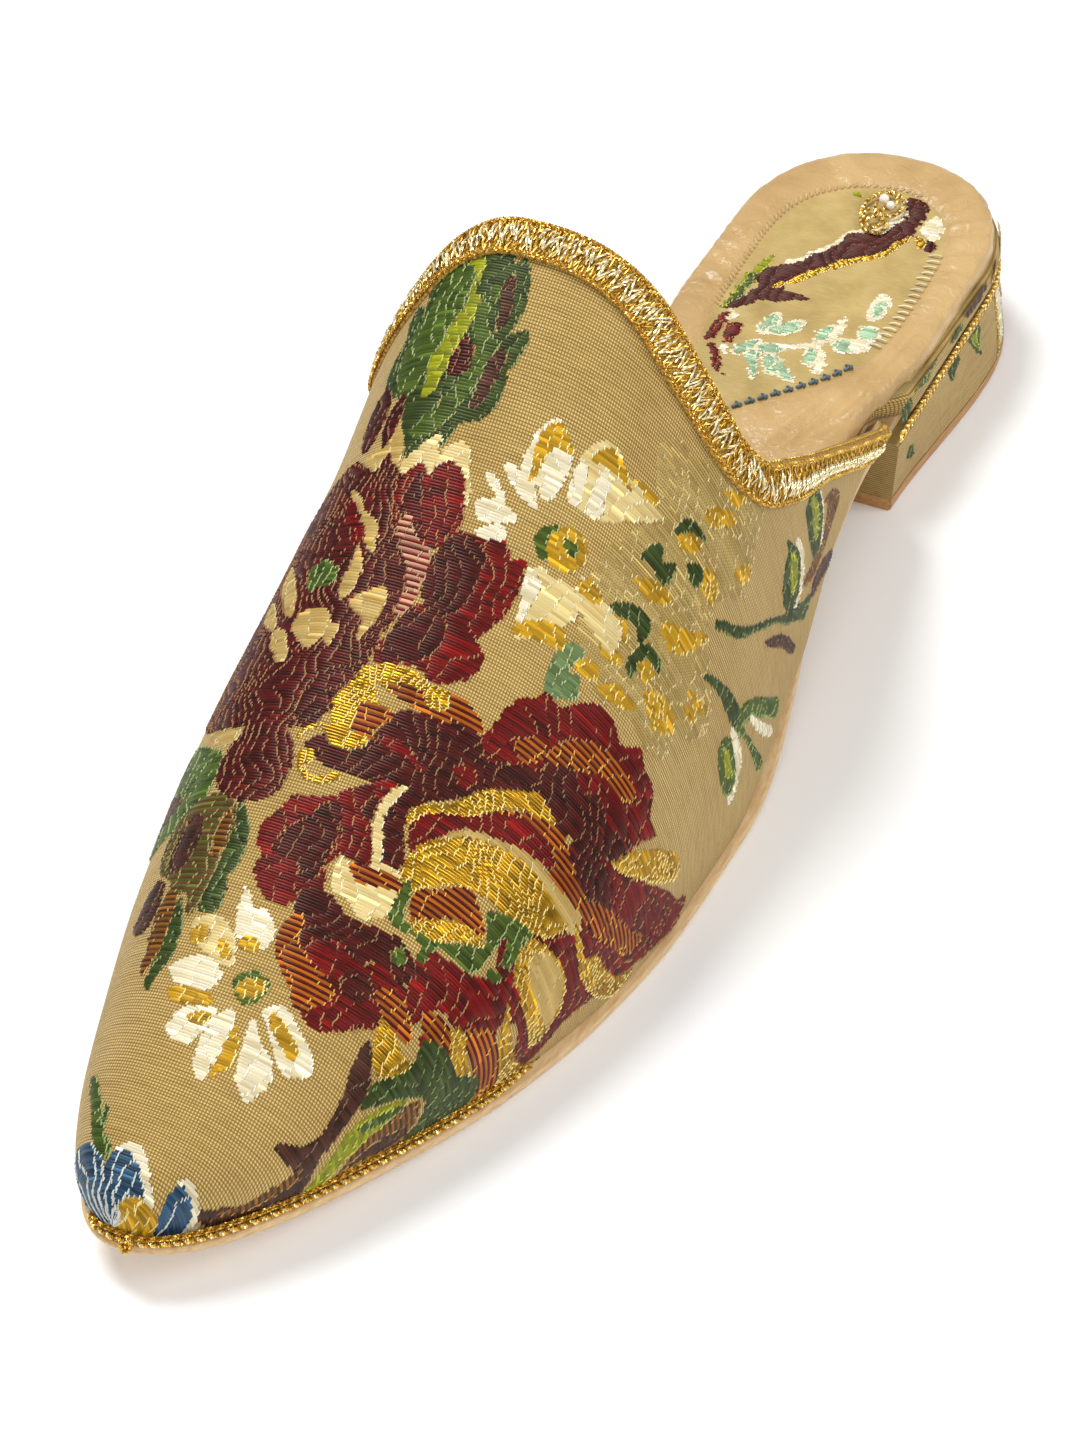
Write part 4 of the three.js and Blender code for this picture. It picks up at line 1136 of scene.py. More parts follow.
def lay_on_braid(t, v, lift):
    """A point t along the braid, v across it from the topline, lifted off the cloth."""
    t, v, lift = np.broadcast_arrays(np.asarray(t, float), np.asarray(v, float), np.asarray(lift, float))
    i = np.clip(t / BRAID_STRIDE, 0, len(BRAID_ALONG) - 1.001)
    j = np.clip(v / (BRAID_WIDTH / BRAID_STEPS), 0, BRAID_STEPS - 0.001)
    a, b = i.astype(int), j.astype(int)
    fi, fj = (i - a)[..., None], (j - b)[..., None]

    def blend_of(table):
        low = table[a, b] * (1 - fj) + table[a, b + 1] * fj
        high = table[a + 1, b] * (1 - fj) + table[a + 1, b + 1] * fj
        return low * (1 - fi) + high * fi

    return blend_of(BRAID_POINTS) + unit(blend_of(BRAID_NORMALS)) * lift[..., None]


def wing_share(t):
    """1 along the wings, 0 round the throat."""
    t = np.asarray(t, float)
    return 1 - smooth(50, 75, np.minimum(t, BRAID_LENGTH - t))


def over_rim(t, drop):
    """A point on the braid where it turns over the topline, drop below the face of the cloth."""
    top, next_in = lay_on_braid(t, 0.0, 0.0), lay_on_braid(t, 1.4, 0.0)
    share = 1 - 0.45 * wing_share(t)
    return lay_on_braid(t, 0.0, -drop * share) + unit(top - next_in) * (0.45 * share)[..., None]


def make_braid():
    """Galloon: a woven gilt ground, fine plaits on its edges, a mesh of gilt threads and pale
    slanting metal bars between."""
    t = BRAID_ALONG
    rows = [over_rim(t, 1.9), over_rim(t, 1.0), over_rim(t, 0.1), lay_on_braid(t, 0.0, 0.7)]
    crown = ((0.5, 0.85), (2.0, 0.75), (3.5, 0.75), (5.0, 0.75), (5.9, 0.75), (6.4, 0.35), (6.5, 0.05))
    for v, lift in crown:
        rows.append(lay_on_braid(t, v, lift))
    base = Parts()
    base.add(np.stack(rows, 1), grid_faces(len(t), len(rows)), "#9A6A1C")
    ribbon = base.piece("braid_ground", braid_ground, "gold_braid", True)
    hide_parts("topline_braid")

    gold = Parts()
    t = np.arange(0.2, BRAID_LENGTH - 0.2, 0.2)
    for k in range(3):
        phase = 2 * np.pi * (t / 1.5 + k / 3)
        sway, rise = np.sin(phase), np.sin(2 * phase)
        gold.tube(lay_on_braid(t, 0.45 + 0.3 * sway, 0.95 + 0.14 * rise), 0.19, 4, GOLD_DYES[k], 0.9)
        gold.tube(lay_on_braid(t, 6.05 + 0.3 * sway, 0.88 + 0.14 * rise), 0.18, 4, GOLD_DYES[k], 0.9)
        gold.tube(over_rim(t, 0.6 + 0.4 * sway), 0.19, 4, GOLD_DYES[k], 0.9)
    for k, t in enumerate(np.arange(0.4, BRAID_LENGTH - 1.0, 0.4)):
        lean = (1 if k % 2 else -1) * rng.uniform(0.3, 1.0)
        v = np.linspace(0.8, 5.8, 6)
        place = np.clip(t + lean * (v - 3.3) / 2.5, 0, BRAID_LENGTH)
        line = lay_on_braid(place, v, 0.9 + 0.2 * np.sin(v * 2.1 + k))
        gold.tube(line, 0.15, 4, GOLD_DYES[k % 3], 0.8, shade=rng.uniform(0.6, 1.15))
    gold.piece("braid_gilt_cords", metal_thread, "gold_braid")

    pale = Parts()
    bow = np.sin(np.linspace(0, np.pi, 6))
    for k, t in enumerate(np.arange(0.6, BRAID_LENGTH - 1.2, 0.44)):
        wing = min(t, BRAID_LENGTH - t) < WING_BRAID
        if k % (3 if wing else 5) == 0:
            continue
        way = 1 if (k // 3) % 2 else -1
        if wing:
            start, end, lean = rng.uniform(2.6, 3.2), rng.uniform(4.8, 5.5), rng.uniform(0.5, 0.9)
        else:
            start, lean = rng.uniform(0.9, 3.4), way * rng.uniform(0.2, 1.2)
            end = min(start + rng.uniform(1.8, 3.2), 5.7)
        v = np.linspace(start, end, 6)
        place = np.clip(t + rng.uniform(-0.25, 0.25) + lean * (v - 3.3) / 2.2, 0, BRAID_LENGTH)
        line = lay_on_braid(place, v, 1.0 + 0.34 * bow + rng.uniform(0, 0.12))
        pale.tube(line, 0.16, 4, PALE_GOLD, 0.5, shade=rng.uniform(0.75, 1.1))
    pale.piece("braid_pale_bars", pale_metal, "gold_braid")


def gilt_ground():
    """Gilt yarn woven close, each grain painted lighter at its middle and with painted shade towards its
    edge.
    """
    material, tree, shader = new_material("gilt_galloon_ground", "#8C5E18", 0.5, 0.6)
    place = add_node(tree, "TexCoord")
    scale = add_node(tree, "VectorMath", [(0, place.outputs["Object"])], operation="SCALE", Scale=1000.0)
    grains = add_node(tree, "TexVoronoi", [("Vector", scale.outputs[0])], Scale=2.4)
    # painted shade: each grain darker towards its edge, lighter at its middle
    colour = ramp(tree, grains.outputs["Distance"], [(0.1, "#D8AE50"), (0.8, "#8E6420")])
    tree.links.new(colour, shader.inputs["Base Color"])
    bump = add_node(tree, "Bump", [("Height", grains.outputs["Distance"])], Strength=0.8, Distance=0.0002)
    tree.links.new(bump.outputs["Normal"], shader.inputs["Normal"])
    return material


braid_ground = gilt_ground()
pale_metal = thread_material("silver_gilt_strip", 0.26, 0.6)
make_braid()

# ---------------------------------------------------------------- slabs with the sole's outline
SEAT_SOLE_INSET = 2.2
SHANK_INSET = 2.6


def outline(side, s, trim):
    """Points of the sole's edge seen from above, drawn in by trim."""
    edge, sign = (sole_lateral, 1) if side == "lateral" else (sole_medial, -1)
    back, front = np.minimum(s + 0.4, LENGTH), np.maximum(s - 0.4, 0)
    tangent = unit(np.stack([edge(back) - edge(front), back - front], -1))
    out = np.stack([tangent[:, 1], -tangent[:, 0]], -1) * sign
    x, y = edge(s) - out[:, 0] * trim, s - LENGTH / 2 - out[:, 1] * trim
    return np.stack([x, y], -1) + FRAME_SHIFT[:2]


def stations(start, end, count, square_front=False):
    k = np.arange(count + 1) / count
    share = np.sin(k * np.pi / 2) if square_front else (1 - np.cos(k * np.pi)) / 2
    return start + (end - start) * share


def slab_rings(s, inset, layers):
    """Closed rings of points, lateral side first and then back along the medial side."""
    rings = []
    for trim, z in layers:
        drawn_in = inset(s) + (trim(s) if callable(trim) else trim)
        both = [outline(side, s, drawn_in) for side in ("lateral", "medial")]
        for end, at in ((0, 0.0), (-1, LENGTH)):
            if s[end] == at:
                middle = (both[0][end] + both[1][end]) / 2
                both[0][end] = both[1][end] = middle
        height = z(s)
        lateral = np.concatenate([both[0], height[:, None]], 1)
        medial = np.concatenate([both[1], height[:, None]], 1)
        rings.append(np.concatenate([lateral, medial[::-1]]))
    return rings


def make_slab(name, s, inset, layers, material, node, chart=None):
    """A slab with a rounded edge: rings from its underside up, closed below and above."""
    rings = slab_rings(s, inset, layers)
    n, m = len(rings[0]), len(s)
    points = np.concatenate(rings)
    i, j = np.meshgrid(np.arange(len(rings) - 1), np.arange(n), indexing="ij")
    i, j = i.ravel(), j.ravel()
    j2 = (j + 1) % n
    sides = np.stack([i * n + j, i * n + j2, (i + 1) * n + j2, (i + 1) * n + j], -1)
    k = np.arange(m - 1)
    low = np.stack([k, k + 1, n - 2 - k, n - 1 - k], -1)
    high = low[:, ::-1] + (len(rings) - 1) * n
    piece = new_piece(name, points, np.concatenate([sides, low, high]), material)
    mesh = piece.data
    if chart is not None:
        layer = mesh.uv_layers.new(name="cloth")
        corner = np.zeros(len(mesh.loops), int)
        mesh.loops.foreach_get("vertex_index", corner)
        layer.data.foreach_set("uv", (chart(points) / 100)[corner].ravel())
    work = bmesh.new()
    work.from_mesh(mesh)
    bmesh.ops.remove_doubles(work, verts=work.verts, dist=0.000002)
    bmesh.ops.recalc_face_normals(work, faces=work.faces)
    work.to_mesh(mesh)
    work.free()
    mesh.shade_smooth()
    bpy.ops.object.select_all(action="DESELECT")
    piece.select_set(True)
    bpy.context.view_layer.objects.active = piece
    bpy.ops.object.shade_smooth_by_angle(angle=math.radians(40))
    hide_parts(node)
    return piece


def heel_walk():
    """How far each place on the heel's outline is from the lateral breast, going round the back."""
    s = stations(BREAST, LENGTH, 400)
    path = np.concatenate([outline("lateral", s, 0.0), outline("medial", s[::-1], 0.0)])
    arc = np.concatenate([[0], np.cumsum(np.linalg.norm(np.diff(path, axis=0), axis=1))])
    tangent = unit(np.gradient(path, axis=0))
    out = np.stack([tangent[:, 1], -tangent[:, 0]], -1)
    return path, arc, out


HEEL_PATH, HEEL_ARC, HEEL_OUT = heel_walk()


def lay_round_heel(t, z, lift):
    """A point t round the heel's covering from the lateral breast, at height z."""
    t, z, lift = np.broadcast_arrays(np.asarray(t, float), np.asarray(z, float), np.asarray(lift, float))
    x, y = (np.interp(t, HEEL_ARC, HEEL_PATH[:, k]) for k in (0, 1))
    ox, oy = (np.interp(t, HEEL_ARC, HEEL_OUT[:, k]) for k in (0, 1))
    taper = np.where(z < 15.5, heel_taper(y - FRAME_SHIFT[1] + LENGTH / 2) * (15 - z) / 12, 0.0)
    away = lift - taper
    return np.stack([x + ox * away, y + oy * away, z], -1)


def chart_of_heel(points):
    """Cloth chart of a piece round the heel: distance round it, and height."""
    nearest = np.argmin(((points[:, None, :2] - HEEL_PATH[None]) ** 2).sum(-1), 1)
    return np.stack([HEEL_ARC[nearest], points[:, 2]], -1)


def sole_trim(s):
    return SHANK_INSET * smooth(118, 160, s) * (1 - smooth(180, BREAST, s)) + SEAT_SOLE_INSET * smooth(
        180, BREAST, s
    )


def sole_leather_material(name, colour, dark, rough):
    """Vegetable-tanned sole leather: a close grain with long faint fibres and rubbed patches."""
    material, tree, shader = new_material(name, colour, rough)
    place = add_node(tree, "TexCoord")
    scale = add_node(tree, "VectorMath", [(0, place.outputs["Object"])], operation="SCALE", Scale=1000.0)
    stretch = add_node(tree, "Mapping", [("Vector", scale.outputs[0])])
    stretch.inputs["Scale"].default_value = (1.4, 0.3, 3.0)
    fibre = add_node(tree, "TexNoise", [("Vector", stretch.outputs[0])], Scale=0.8, Detail=5.0)
    tree.links.new(
        ramp(tree, fibre.outputs["Fac"], [(0.3, dark), (0.65, colour)]), shader.inputs["Base Color"]
    )
    bump = add_node(tree, "Bump", [("Height", fibre.outputs["Fac"])], Strength=0.3, Distance=0.0001)
    tree.links.new(bump.outputs["Normal"], shader.inputs["Normal"])
    return material


sole_leather = sole_leather_material("sole_leather_tanned", "#DDBE8E", "#C8A06C", 0.55)
edge_leather = sole_leather_material("heel_lift_leather", "#C09058", "#A07040", 0.5)


def make_sole_and_heel():
    pared = lambda s: 1 - smooth(120, 160, s)  # the edge is thinned from below round the forefoot
    make_slab(
        "outsole_leather",
        stations(0, LENGTH, 160),
        sole_trim,
        [
            (lambda s: 1.0 + 0.9 * pared(s), sole_height),
            (lambda s: 0.35 + 0.7 * pared(s), lambda s: sole_height(s) + 0.2 + 0.3 * pared(s)),
            (lambda s: 0.05 + 0.2 * pared(s), lambda s: sole_height(s) + 0.7 + 0.5 * pared(s)),
            (0.0, lambda s: sole_height(s) + 1.5 + 0.3 * pared(s)),
            (0.2, lambda s: sole_height(s) + 2.2),
            (0.5, lambda s: sole_height(s) + 2.4),
        ],
        sole_leather,
        "outsole",
    )
    make_slab(
        "heel_lift",
        stations(BREAST, LENGTH, 90, True),
        heel_taper,
        [
            (0.6, lambda s: 0 * s),
            (0.1, lambda s: 0 * s + 0.4),
            (-0.1, lambda s: 0 * s + 1.2),
            (0.0, lambda s: 0 * s + 2.6),
        ],
        edge_leather,
        "heel_top_piece",
    )
    make_slab(
        "heel_covering",
        stations(BREAST, LENGTH, 90, True),
        lambda s: 0 * s,
        [(lambda s: heel_taper(s) + 0.15, lambda s: 0 * s + 2.7)]
        + [
            (lambda s, k=k: heel_taper(s) * (1 - k), lambda s, k=k: 3.0 + (sole_height(s) - 0.6 - 3.0) * k)
            for k in (0.0, 0.25, 0.5, 0.75, 1.0)
        ]
        + [(0.5, lambda s: sole_height(s) - 0.2)],
        ground_cloth,
        "heel_block",
        chart_of_heel,
    )
    clearance = lambda s: ledge(s) + WALL + GAP
    make_slab(
        "seat_covering",
        stations(9, LENGTH, 160),
        lambda s: clearance(s) * (1 - smooth(UPPER_END + 2, BREAST + 7, s)),
        [
            (0.8, lambda s: sole_top(s) + 0.1),
            (0.25, lambda s: sole_top(s) + 0.4),
            (0.0, lambda s: sole_top(s) + 1.2),
            (0.0, lambda s: sole_top(s) + 2.2),
            (0.35, lambda s: sole_top(s) + 3.3),
            (1.4, lambda s: sole_top(s) + 3.9),
        ],
        ground_cloth,
        "insole_board",
        chart_of_heel,
    )


make_sole_and_heel()

HEEL_FIGURE = [
    ("dark_green", "21.5,15.2 23,14.8 24.2,13 25.5,11.4 27,12.6 28.8,14 28,15.2"),
    ("moss", "33,15.3 35,12.6 36.8,10.2 39,8.4 38,11 39.5,13.2 38.5,15.2 36,15.6"),
    ("lime", "35,14.6 36,12.4 37.4,10.8 37.2,12.8 38,14.2"),
    ("dark_green", "5,9 6.5,7.4 8.5,7 8,9 6.6,10.2"),
    ("white", "47.6,17 49,13 50,8 49,4 52,6 53,10 52,14 50,17.4"),
    ("gold", "46,17.4 47.2,13.4 47.6,9 46.8,5 45.6,3 47,3 48.4,6 49,10 48.4,14 47.4,17.4"),
    ("gold", "51,17.4 53,13.5 55.6,10 58.6,7.4 62,5.4 62,6.8 59,9 56,12 54,15 52.6,17.4"),
    ("gold", "66,15 70,13 73,9 72,5 74,5 75.4,9 73,14 68,17"),
    ("dark_green", "80,13 83,10 86,9 85,12 83,15"),
    ("moss", "95,12 98,8 101,6.6 100,10 98,13.6"),
    ("cream", "108,14 112,12 115,8 113,7 109,10"),
]
SEAT_FIGURE = [
    ("dark_green", "0.5,19.4 4.6,19.4 5,21.4 3.6,23.6 1,23.8"),
    ("moss", "3,22.6 6,22.4 9,21.4 12.5,20.4 14,21 11,22.6 7,23.8"),
    ("dark_green", "8,24.6 11,23 14.6,21.8 17,22.6 15,24.4 11,25"),
    ("dark_green", "18,24.6 20,23.2 23,23 22,24.8"),
    ("moss", "24,20.6 27,20 30,20.4 28,21.8"),
    ("brown", "31.6,21.2 33,24.6 37,24.8 40,23.8 41.6,21.4 38,20.6"),
    ("gold", "44,20.4 47,22 50,24.4 51,23.4 48,20.6 46,19.8"),
    ("white", "52,20 56,22 60,24.4 61,22 57,20"),
    ("dark_green", "70,22 74,20 78,20.6 76,24 72,24.4"),
    ("moss", "88,20 92,23.6 96,24 94,20.6"),
    ("dark_green", "104,20 108,22.8 113,23.4 111,20.4"),
]


def cover_figures():
    heel_rows = np.arange(3.4, 15.2, WEFT_PITCH)
    heel_line = np.arange(0.3, HEEL_ARC[-1] - 0.3, STEP)
    weave_figures(
        moved(HEEL_FIGURE, 0, 0), heel_rows, heel_line, lay_round_heel, lambda u, s: s < 15.0, "heel_figure"
    )
    seat_rows = np.arange(18.6, 22.6, WEFT_PITCH)
    weave_figures(
        moved(SEAT_FIGURE, 0, 0), seat_rows, heel_line, lay_round_heel, lambda u, s: s > 0, "seat_figure"
    )


cover_figures()


# ---------------------------------------------------------------- cords round the toe and the heel
def make_cords():
    cords = Parts()
    s = np.concatenate([np.linspace(56, 20, 120), np.linspace(19.5, 1.2, 110)])
    fade = smooth(48, 56, s)  # its end tucks in under the upper
    for inwards, up, radius, dyes in ((0.85, 0.54, 0.5, CORD_DYES_AND_GLINT), (1.4, 1.45, 0.43, DULL_GOLD_DYES)):
        height = sole_top(s) + GAP + up * (1 - 0.6 * fade)
        lateral = np.stack([sole_lateral(s) - inwards - 0.9 * fade, s - LENGTH / 2, height], -1)
        r = np.array([1.2, 2.6])
        medial = np.stack([sole_medial(r) + inwards, r - LENGTH / 2, sole_top(r) + GAP + up], -1)
        nose = np.array([[sole_lateral(0.0), 0.5 + (inwards - 0.85) - LENGTH / 2, sole_top(0.0) + GAP + up]])
        path = np.concatenate([lateral, nose, medial]) + FRAME_SHIFT
        cords.strand_cord(path, radius, dyes, 1.6, 4, 0.2, 0.9, 1 if up < 1 else -1)
    centre = nose[0] + FRAME_SHIFT + np.array([2.2, -0.9, -1.6])
    for k, angle in enumerate((0.0, 1.2, 2.3)):
        t = np.linspace(0, 2 * np.pi, 22)[:-1]
        rise = 0.7 * np.cos(t) * np.sin(angle) + 0.5 * np.sin(t)
        ring = centre + np.stack([0.8 * np.cos(t) * np.cos(angle), 0.4 * np.sin(t), rise], -1)
        cords.tube(ring, 0.26, 5, GOLD_DYES[k], 0.8, closed=True)
    toe = cords.piece("toe_cord_gilt", metal_thread, "gold_braid")
    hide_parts("toe_cord")

    cords = Parts()
    s = np.concatenate([np.linspace(BREAST + 0.4, 250, 120), np.linspace(250.3, 269.6, 120)])
    z_of = lambda s: sole_height(s) + SOLE_THICK / 2
    sides = []
    for side in ("lateral", "medial"):
        edge = outline(side, s, 0.0)
        sides.append(np.concatenate([edge, z_of(s)[:, None]], 1))
    path = np.concatenate([sides[0], sides[1][::-1]])
    for twist, rise in ((1, 0.42), (-1, -0.42)):
        cords.strand_cord(path + [0, 0, rise], 0.46, CORD_DYES_AND_GLINT, 1.5, 4, 0.2, 0.9, twist)
    heel = cords.piece("heel_cord_gilt", metal_thread, "gold_braid")
    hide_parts("heel_cord")


make_cords()

# ---------------------------------------------------------------- the padded insole
PAD_START = 9.0
INSET_EDGE = [
    (-9.2, 76), (-9.6, 86), (-9.8, 97), (-9.2, 106), (-7.2, 112.5), (-3, 117.6), (2, 120.6), (8, 121.8),
    (13.5, 120.4), (17.8, 116.8), (20.6, 111.5), (22.0, 104), (22.4, 94), (22.3, 84), (21.4, 76),
    (19.4, 70), (16.0, 64.6), (11.6, 59.4), (6.4, 54), (1.6, 49.6), (-2.6, 49), (-5.4, 53), (-7.2, 60),
    (-8.4, 68),
]


def inset_ring(step=0.6):
    ring = rounded_outline(INSET_EDGE, 8)
    ring = np.concatenate([ring, ring[:1]])
    arc = np.concatenate([[0], np.cumsum(np.linalg.norm(np.diff(ring, axis=0), axis=1))])
    at = np.linspace(0, arc[-1], int(arc[-1] / step) + 1)[:-1]
    return np.stack([np.interp(at, arc, ring[:, k]) for k in (0, 1)], -1)


INSET_RING = inset_ring()


def beyond_inset(x, y):
    """Distance outside the inset's seam, negative within it, and place along the seam."""
    p = np.stack([x, y], -1).reshape(-1, 2)
    gap = np.full(len(p), 1e9)
    where = np.zeros(len(p), int)
    for start in range(0, len(INSET_RING), 40):
        chunk = INSET_RING[start : start + 40]
        d = np.linalg.norm(p[:, None] - chunk[None], axis=2)
        k = d.argmin(1)
        closer = d[np.arange(len(p)), k] < gap
        gap = np.where(closer, d[np.arange(len(p)), k], gap)
        where = np.where(closer, k + start, where)
    within = inside(INSET_RING, p[:, 0], p[:, 1])
    return np.where(within, -gap, gap).reshape(np.shape(x)), where.reshape(np.shape(x))


INSET_SUNK = 0.35


def pad_top(y):
    """Height of the pad's upper face."""
    return sole_top(y - FRAME_SHIFT[1] + LENGTH / 2) + BOARD_THICK + 2 * GAP + PAD_THICK


def inset_face(y):
    """Height of the brocade set into the pad."""
    return pad_top(y) - INSET_SUNK


def lay_on_inset(x, y, lift):
    x, y, lift = np.broadcast_arrays(np.asarray(x, float), np.asarray(y, float), np.asarray(lift, float))
    return np.stack([x, y, inset_face(y) + lift], -1)


def pad_inset(s):
    """How far in from the outline of the seat and sole the pad's edge lies."""
    return 4.7 - 0.9 * smooth(150, 190, s) - 3.8 * smooth(189, 217, s)


def from_pad_edge(x, y):
    """Distance in from the pad's outer edge."""
    s = stations(PAD_START, LENGTH, 240)
    ring = np.concatenate([outline(side, s, pad_inset(s)) for side in ("lateral", "medial")])
    gap = np.full(x.shape, 1e9)
    for start in range(0, len(ring), 40):
        near = ring[None, start : start + 40]
        d = np.hypot(x[:, None] - near[..., 0], y[:, None] - near[..., 1])
        gap = np.minimum(gap, d.min(1))
    return gap


def make_pad():
    """A foam pad under sheepskin, blown up as cloth from a slightly smaller shape, drawn down
    along the seam of the inset, then creased along listed lines."""
    bottom = lambda s: sole_top(s) + BOARD_THICK + 2 * GAP
    layers = [
        (1.8, bottom),
        (0.9, lambda s: bottom(s) + 0.7),
        (0.7, lambda s: bottom(s) + PAD_THICK * 0.45),
        (1.6, lambda s: bottom(s) + PAD_THICK * 0.75),
        (3.4, lambda s: bottom(s) + PAD_THICK * 0.88),
    ]
    piece = make_slab(
        "insole_pad_leather",
        stations(PAD_START, LENGTH, 150),
        pad_inset,
        layers,
        pad_leather,
        "insole_pad",
    )
    bpy.ops.object.select_all(action="DESELECT")
    piece.select_set(True)
    bpy.context.view_layer.objects.active = piece
    remesh = piece.modifiers.new("even_skin", "REMESH")
    remesh.mode = "VOXEL"
    remesh.voxel_size = 0.0017
    remesh.use_smooth_shade = True
    bpy.ops.object.modifier_apply(modifier=remesh.name)
    start = positions(piece)
    swell(piece, start)
    modifier = piece.modifiers.new("rounder", "SUBSURF")
    modifier.levels = modifier.render_levels = 1
    bpy.ops.object.modifier_apply(modifier=modifier.name)
    crease_pad(piece)
    return piece


def positions(piece):
    p = np.zeros(len(piece.data.vertices) * 3)
    piece.data.vertices.foreach_get("co", p)
    return p.reshape(-1, 3) / MM


def set_positions(piece, points):
    piece.data.vertices.foreach_set("co", (points * MM).astype(np.float32).ravel())
    piece.data.update()


def swell(piece, start):
    """Blows the skin up with its underside and the inset's seam held."""
    s = start[:, 1] - FRAME_SHIFT[1] + LENGTH / 2
    low = start[:, 2] < sole_top(s) + BOARD_THICK + 2 * GAP + 0.9
    away, _ = beyond_inset(start[:, 0], start[:, 1])
    held = low | (away < 1.2) | (s < 60)
    group = piece.vertex_groups.new(name="held")
    group.add(np.nonzero(held)[0].tolist(), 1.0, "REPLACE")
    cloth = piece.modifiers.new("stuffing", "CLOTH")
    settings = cloth.settings
    settings.vertex_group_mass = "held"
    settings.use_pressure = True
    settings.uniform_pressure_force = 4.0
    settings.effector_weights.gravity = 0.0
    settings.quality = 5
    settings.mass = 0.1
    settings.tension_stiffness = settings.compression_stiffness = 12
    settings.bending_stiffness = 1.5
    cloth.collision_settings.use_self_collision = False
    cloth.point_cache.frame_start, cloth.point_cache.frame_end = 1, 20
    scene = bpy.context.scene
    for number in range(1, 21):
        scene.frame_set(number)
    bpy.ops.object.modifier_apply(modifier=cloth.name)
    scene.frame_set(1)
    after = positions(piece)
    move = after - start
    size = np.linalg.norm(move, axis=1, keepdims=True)
    cap = 1.5
    move *= np.where(size > cap, cap / np.maximum(size, 1e-6), 1.0)
    move[held] = 0
    set_positions(piece, start + move)
    piece.vertex_groups.clear()


def crease_pad(piece):
    """Sinks the inset's bed, rounds the roll round it and presses creases into the leather."""
    p = positions(piece)
    x, y, z = p.T
    s = y - FRAME_SHIFT[1] + LENGTH / 2
    base = sole_top(s) + BOARD_THICK + 2 * GAP
    top = smooth(0.35, 0.75, (z - base) / PAD_THICK)
    away, along = beyond_inset(x, y)
    crest = pad_top(y) + 0.7 * smooth(150, 176, s)
    bed = inset_face(y) - 0.45
    inner = np.sin(np.pi / 2 * np.clip((away + 0.3) / 4.6, 0, 1)) ** 0.8
    outer = np.sin(np.pi / 2 * np.clip(from_pad_edge(x, y) / 5.0, 0, 1)) ** 0.8
    target = bed + (crest - bed) * inner * (0.2 + 0.8 * outer)
    z = z + (target - z) * top * (1 - 0.25 * smooth(1.0, 3.0, away))
    turn = along * 0.6
    wave = np.sin(turn * 2 * np.pi / 2.9 + 1.3 * np.sin(turn * 0.31))
    wave = wave + 0.6 * np.sin(turn * 2 * np.pi / 4.7 + 2)
    near_edge = smooth(3.0, 6.0, away) * (1 - smooth(9.0, 14.0, away))
    near_seam = smooth(0.2, 1.0, away) * (1 - smooth(2.6, 5.4, away))
    patchy = 0.45 + 0.55 * np.sin(turn * 0.19 + 0.8) * np.sin(turn * 0.083 + 2.0)
    z = z + top * wave * (0.17 * near_edge + 0.24 * near_seam) * patchy
    for (x0, y0), (x1, y1), width, depth in PAD_CREASES:
        length = math.hypot(x1 - x0, y1 - y0)
        ux, uy = (x1 - x0) / length, (y1 - y0) / length
        t = ((x - x0) * ux + (y - y0) * uy) / length
        side = (x - x0) * -uy + (y - y0) * ux + 0.8 * np.sin(t * 3.1) * width
        ends = smooth(0, 0.3, t) * (1 - smooth(0.7, 1.0, t))
        shape = np.exp(-((side / width) ** 2)) - 0.4 * np.exp(-(((np.abs(side) - 2 * width) / width) ** 2))
        z = z - 1.35 * top * ends * depth * shape * smooth(0.3, 1.6, away)
    set_positions(piece, np.stack([x, y, z], -1))


PAD_CREASES = [
    ((13.5, 44), (20.5, 62), 0.8, 0.75),
    ((16.5, 43), (22.5, 64), 0.7, 0.62),
    ((19.5, 46), (23.6, 68), 0.9, 0.55),
    ((22.5, 62), (24.4, 84), 0.9, 0.45),
    ((24.5, 72), (25.4, 92), 1.0, 0.32),
    ((20.4, 52), (27.6, 60), 1.0, 0.3),
    ((-12.0, 86), (-16.8, 90), 0.7, 0.5),
    ((-12.0, 89.5), (-16.8, 94), 0.7, 0.48),
    ((-11.8, 94), (-16.4, 98.5), 0.7, 0.35),
    ((-11.0, 81), (-16.0, 83.5), 0.8, 0.45),
    ((-10.6, 104), (-15.4, 107), 0.8, 0.3),
    ((-4, 119), (-8.4, 125.6), 0.8, 0.35),
    ((4, 122), (3.4, 128), 0.9, 0.28),
    ((22.0, 113), (27.5, 117), 0.8, 0.4),
    ((22.8, 108), (29, 110.4), 0.8, 0.36),
    ((23.4, 102), (29.6, 103.6), 0.8, 0.34),
    ((24, 95), (29.4, 95.8), 0.8, 0.26),
    ((18, 118), (21.6, 124.4), 0.8, 0.35),
]
pad_leather = leather("padded_sheepskin", "#CBA973", "#B6935E", 0.34, 1.1)
make_pad()

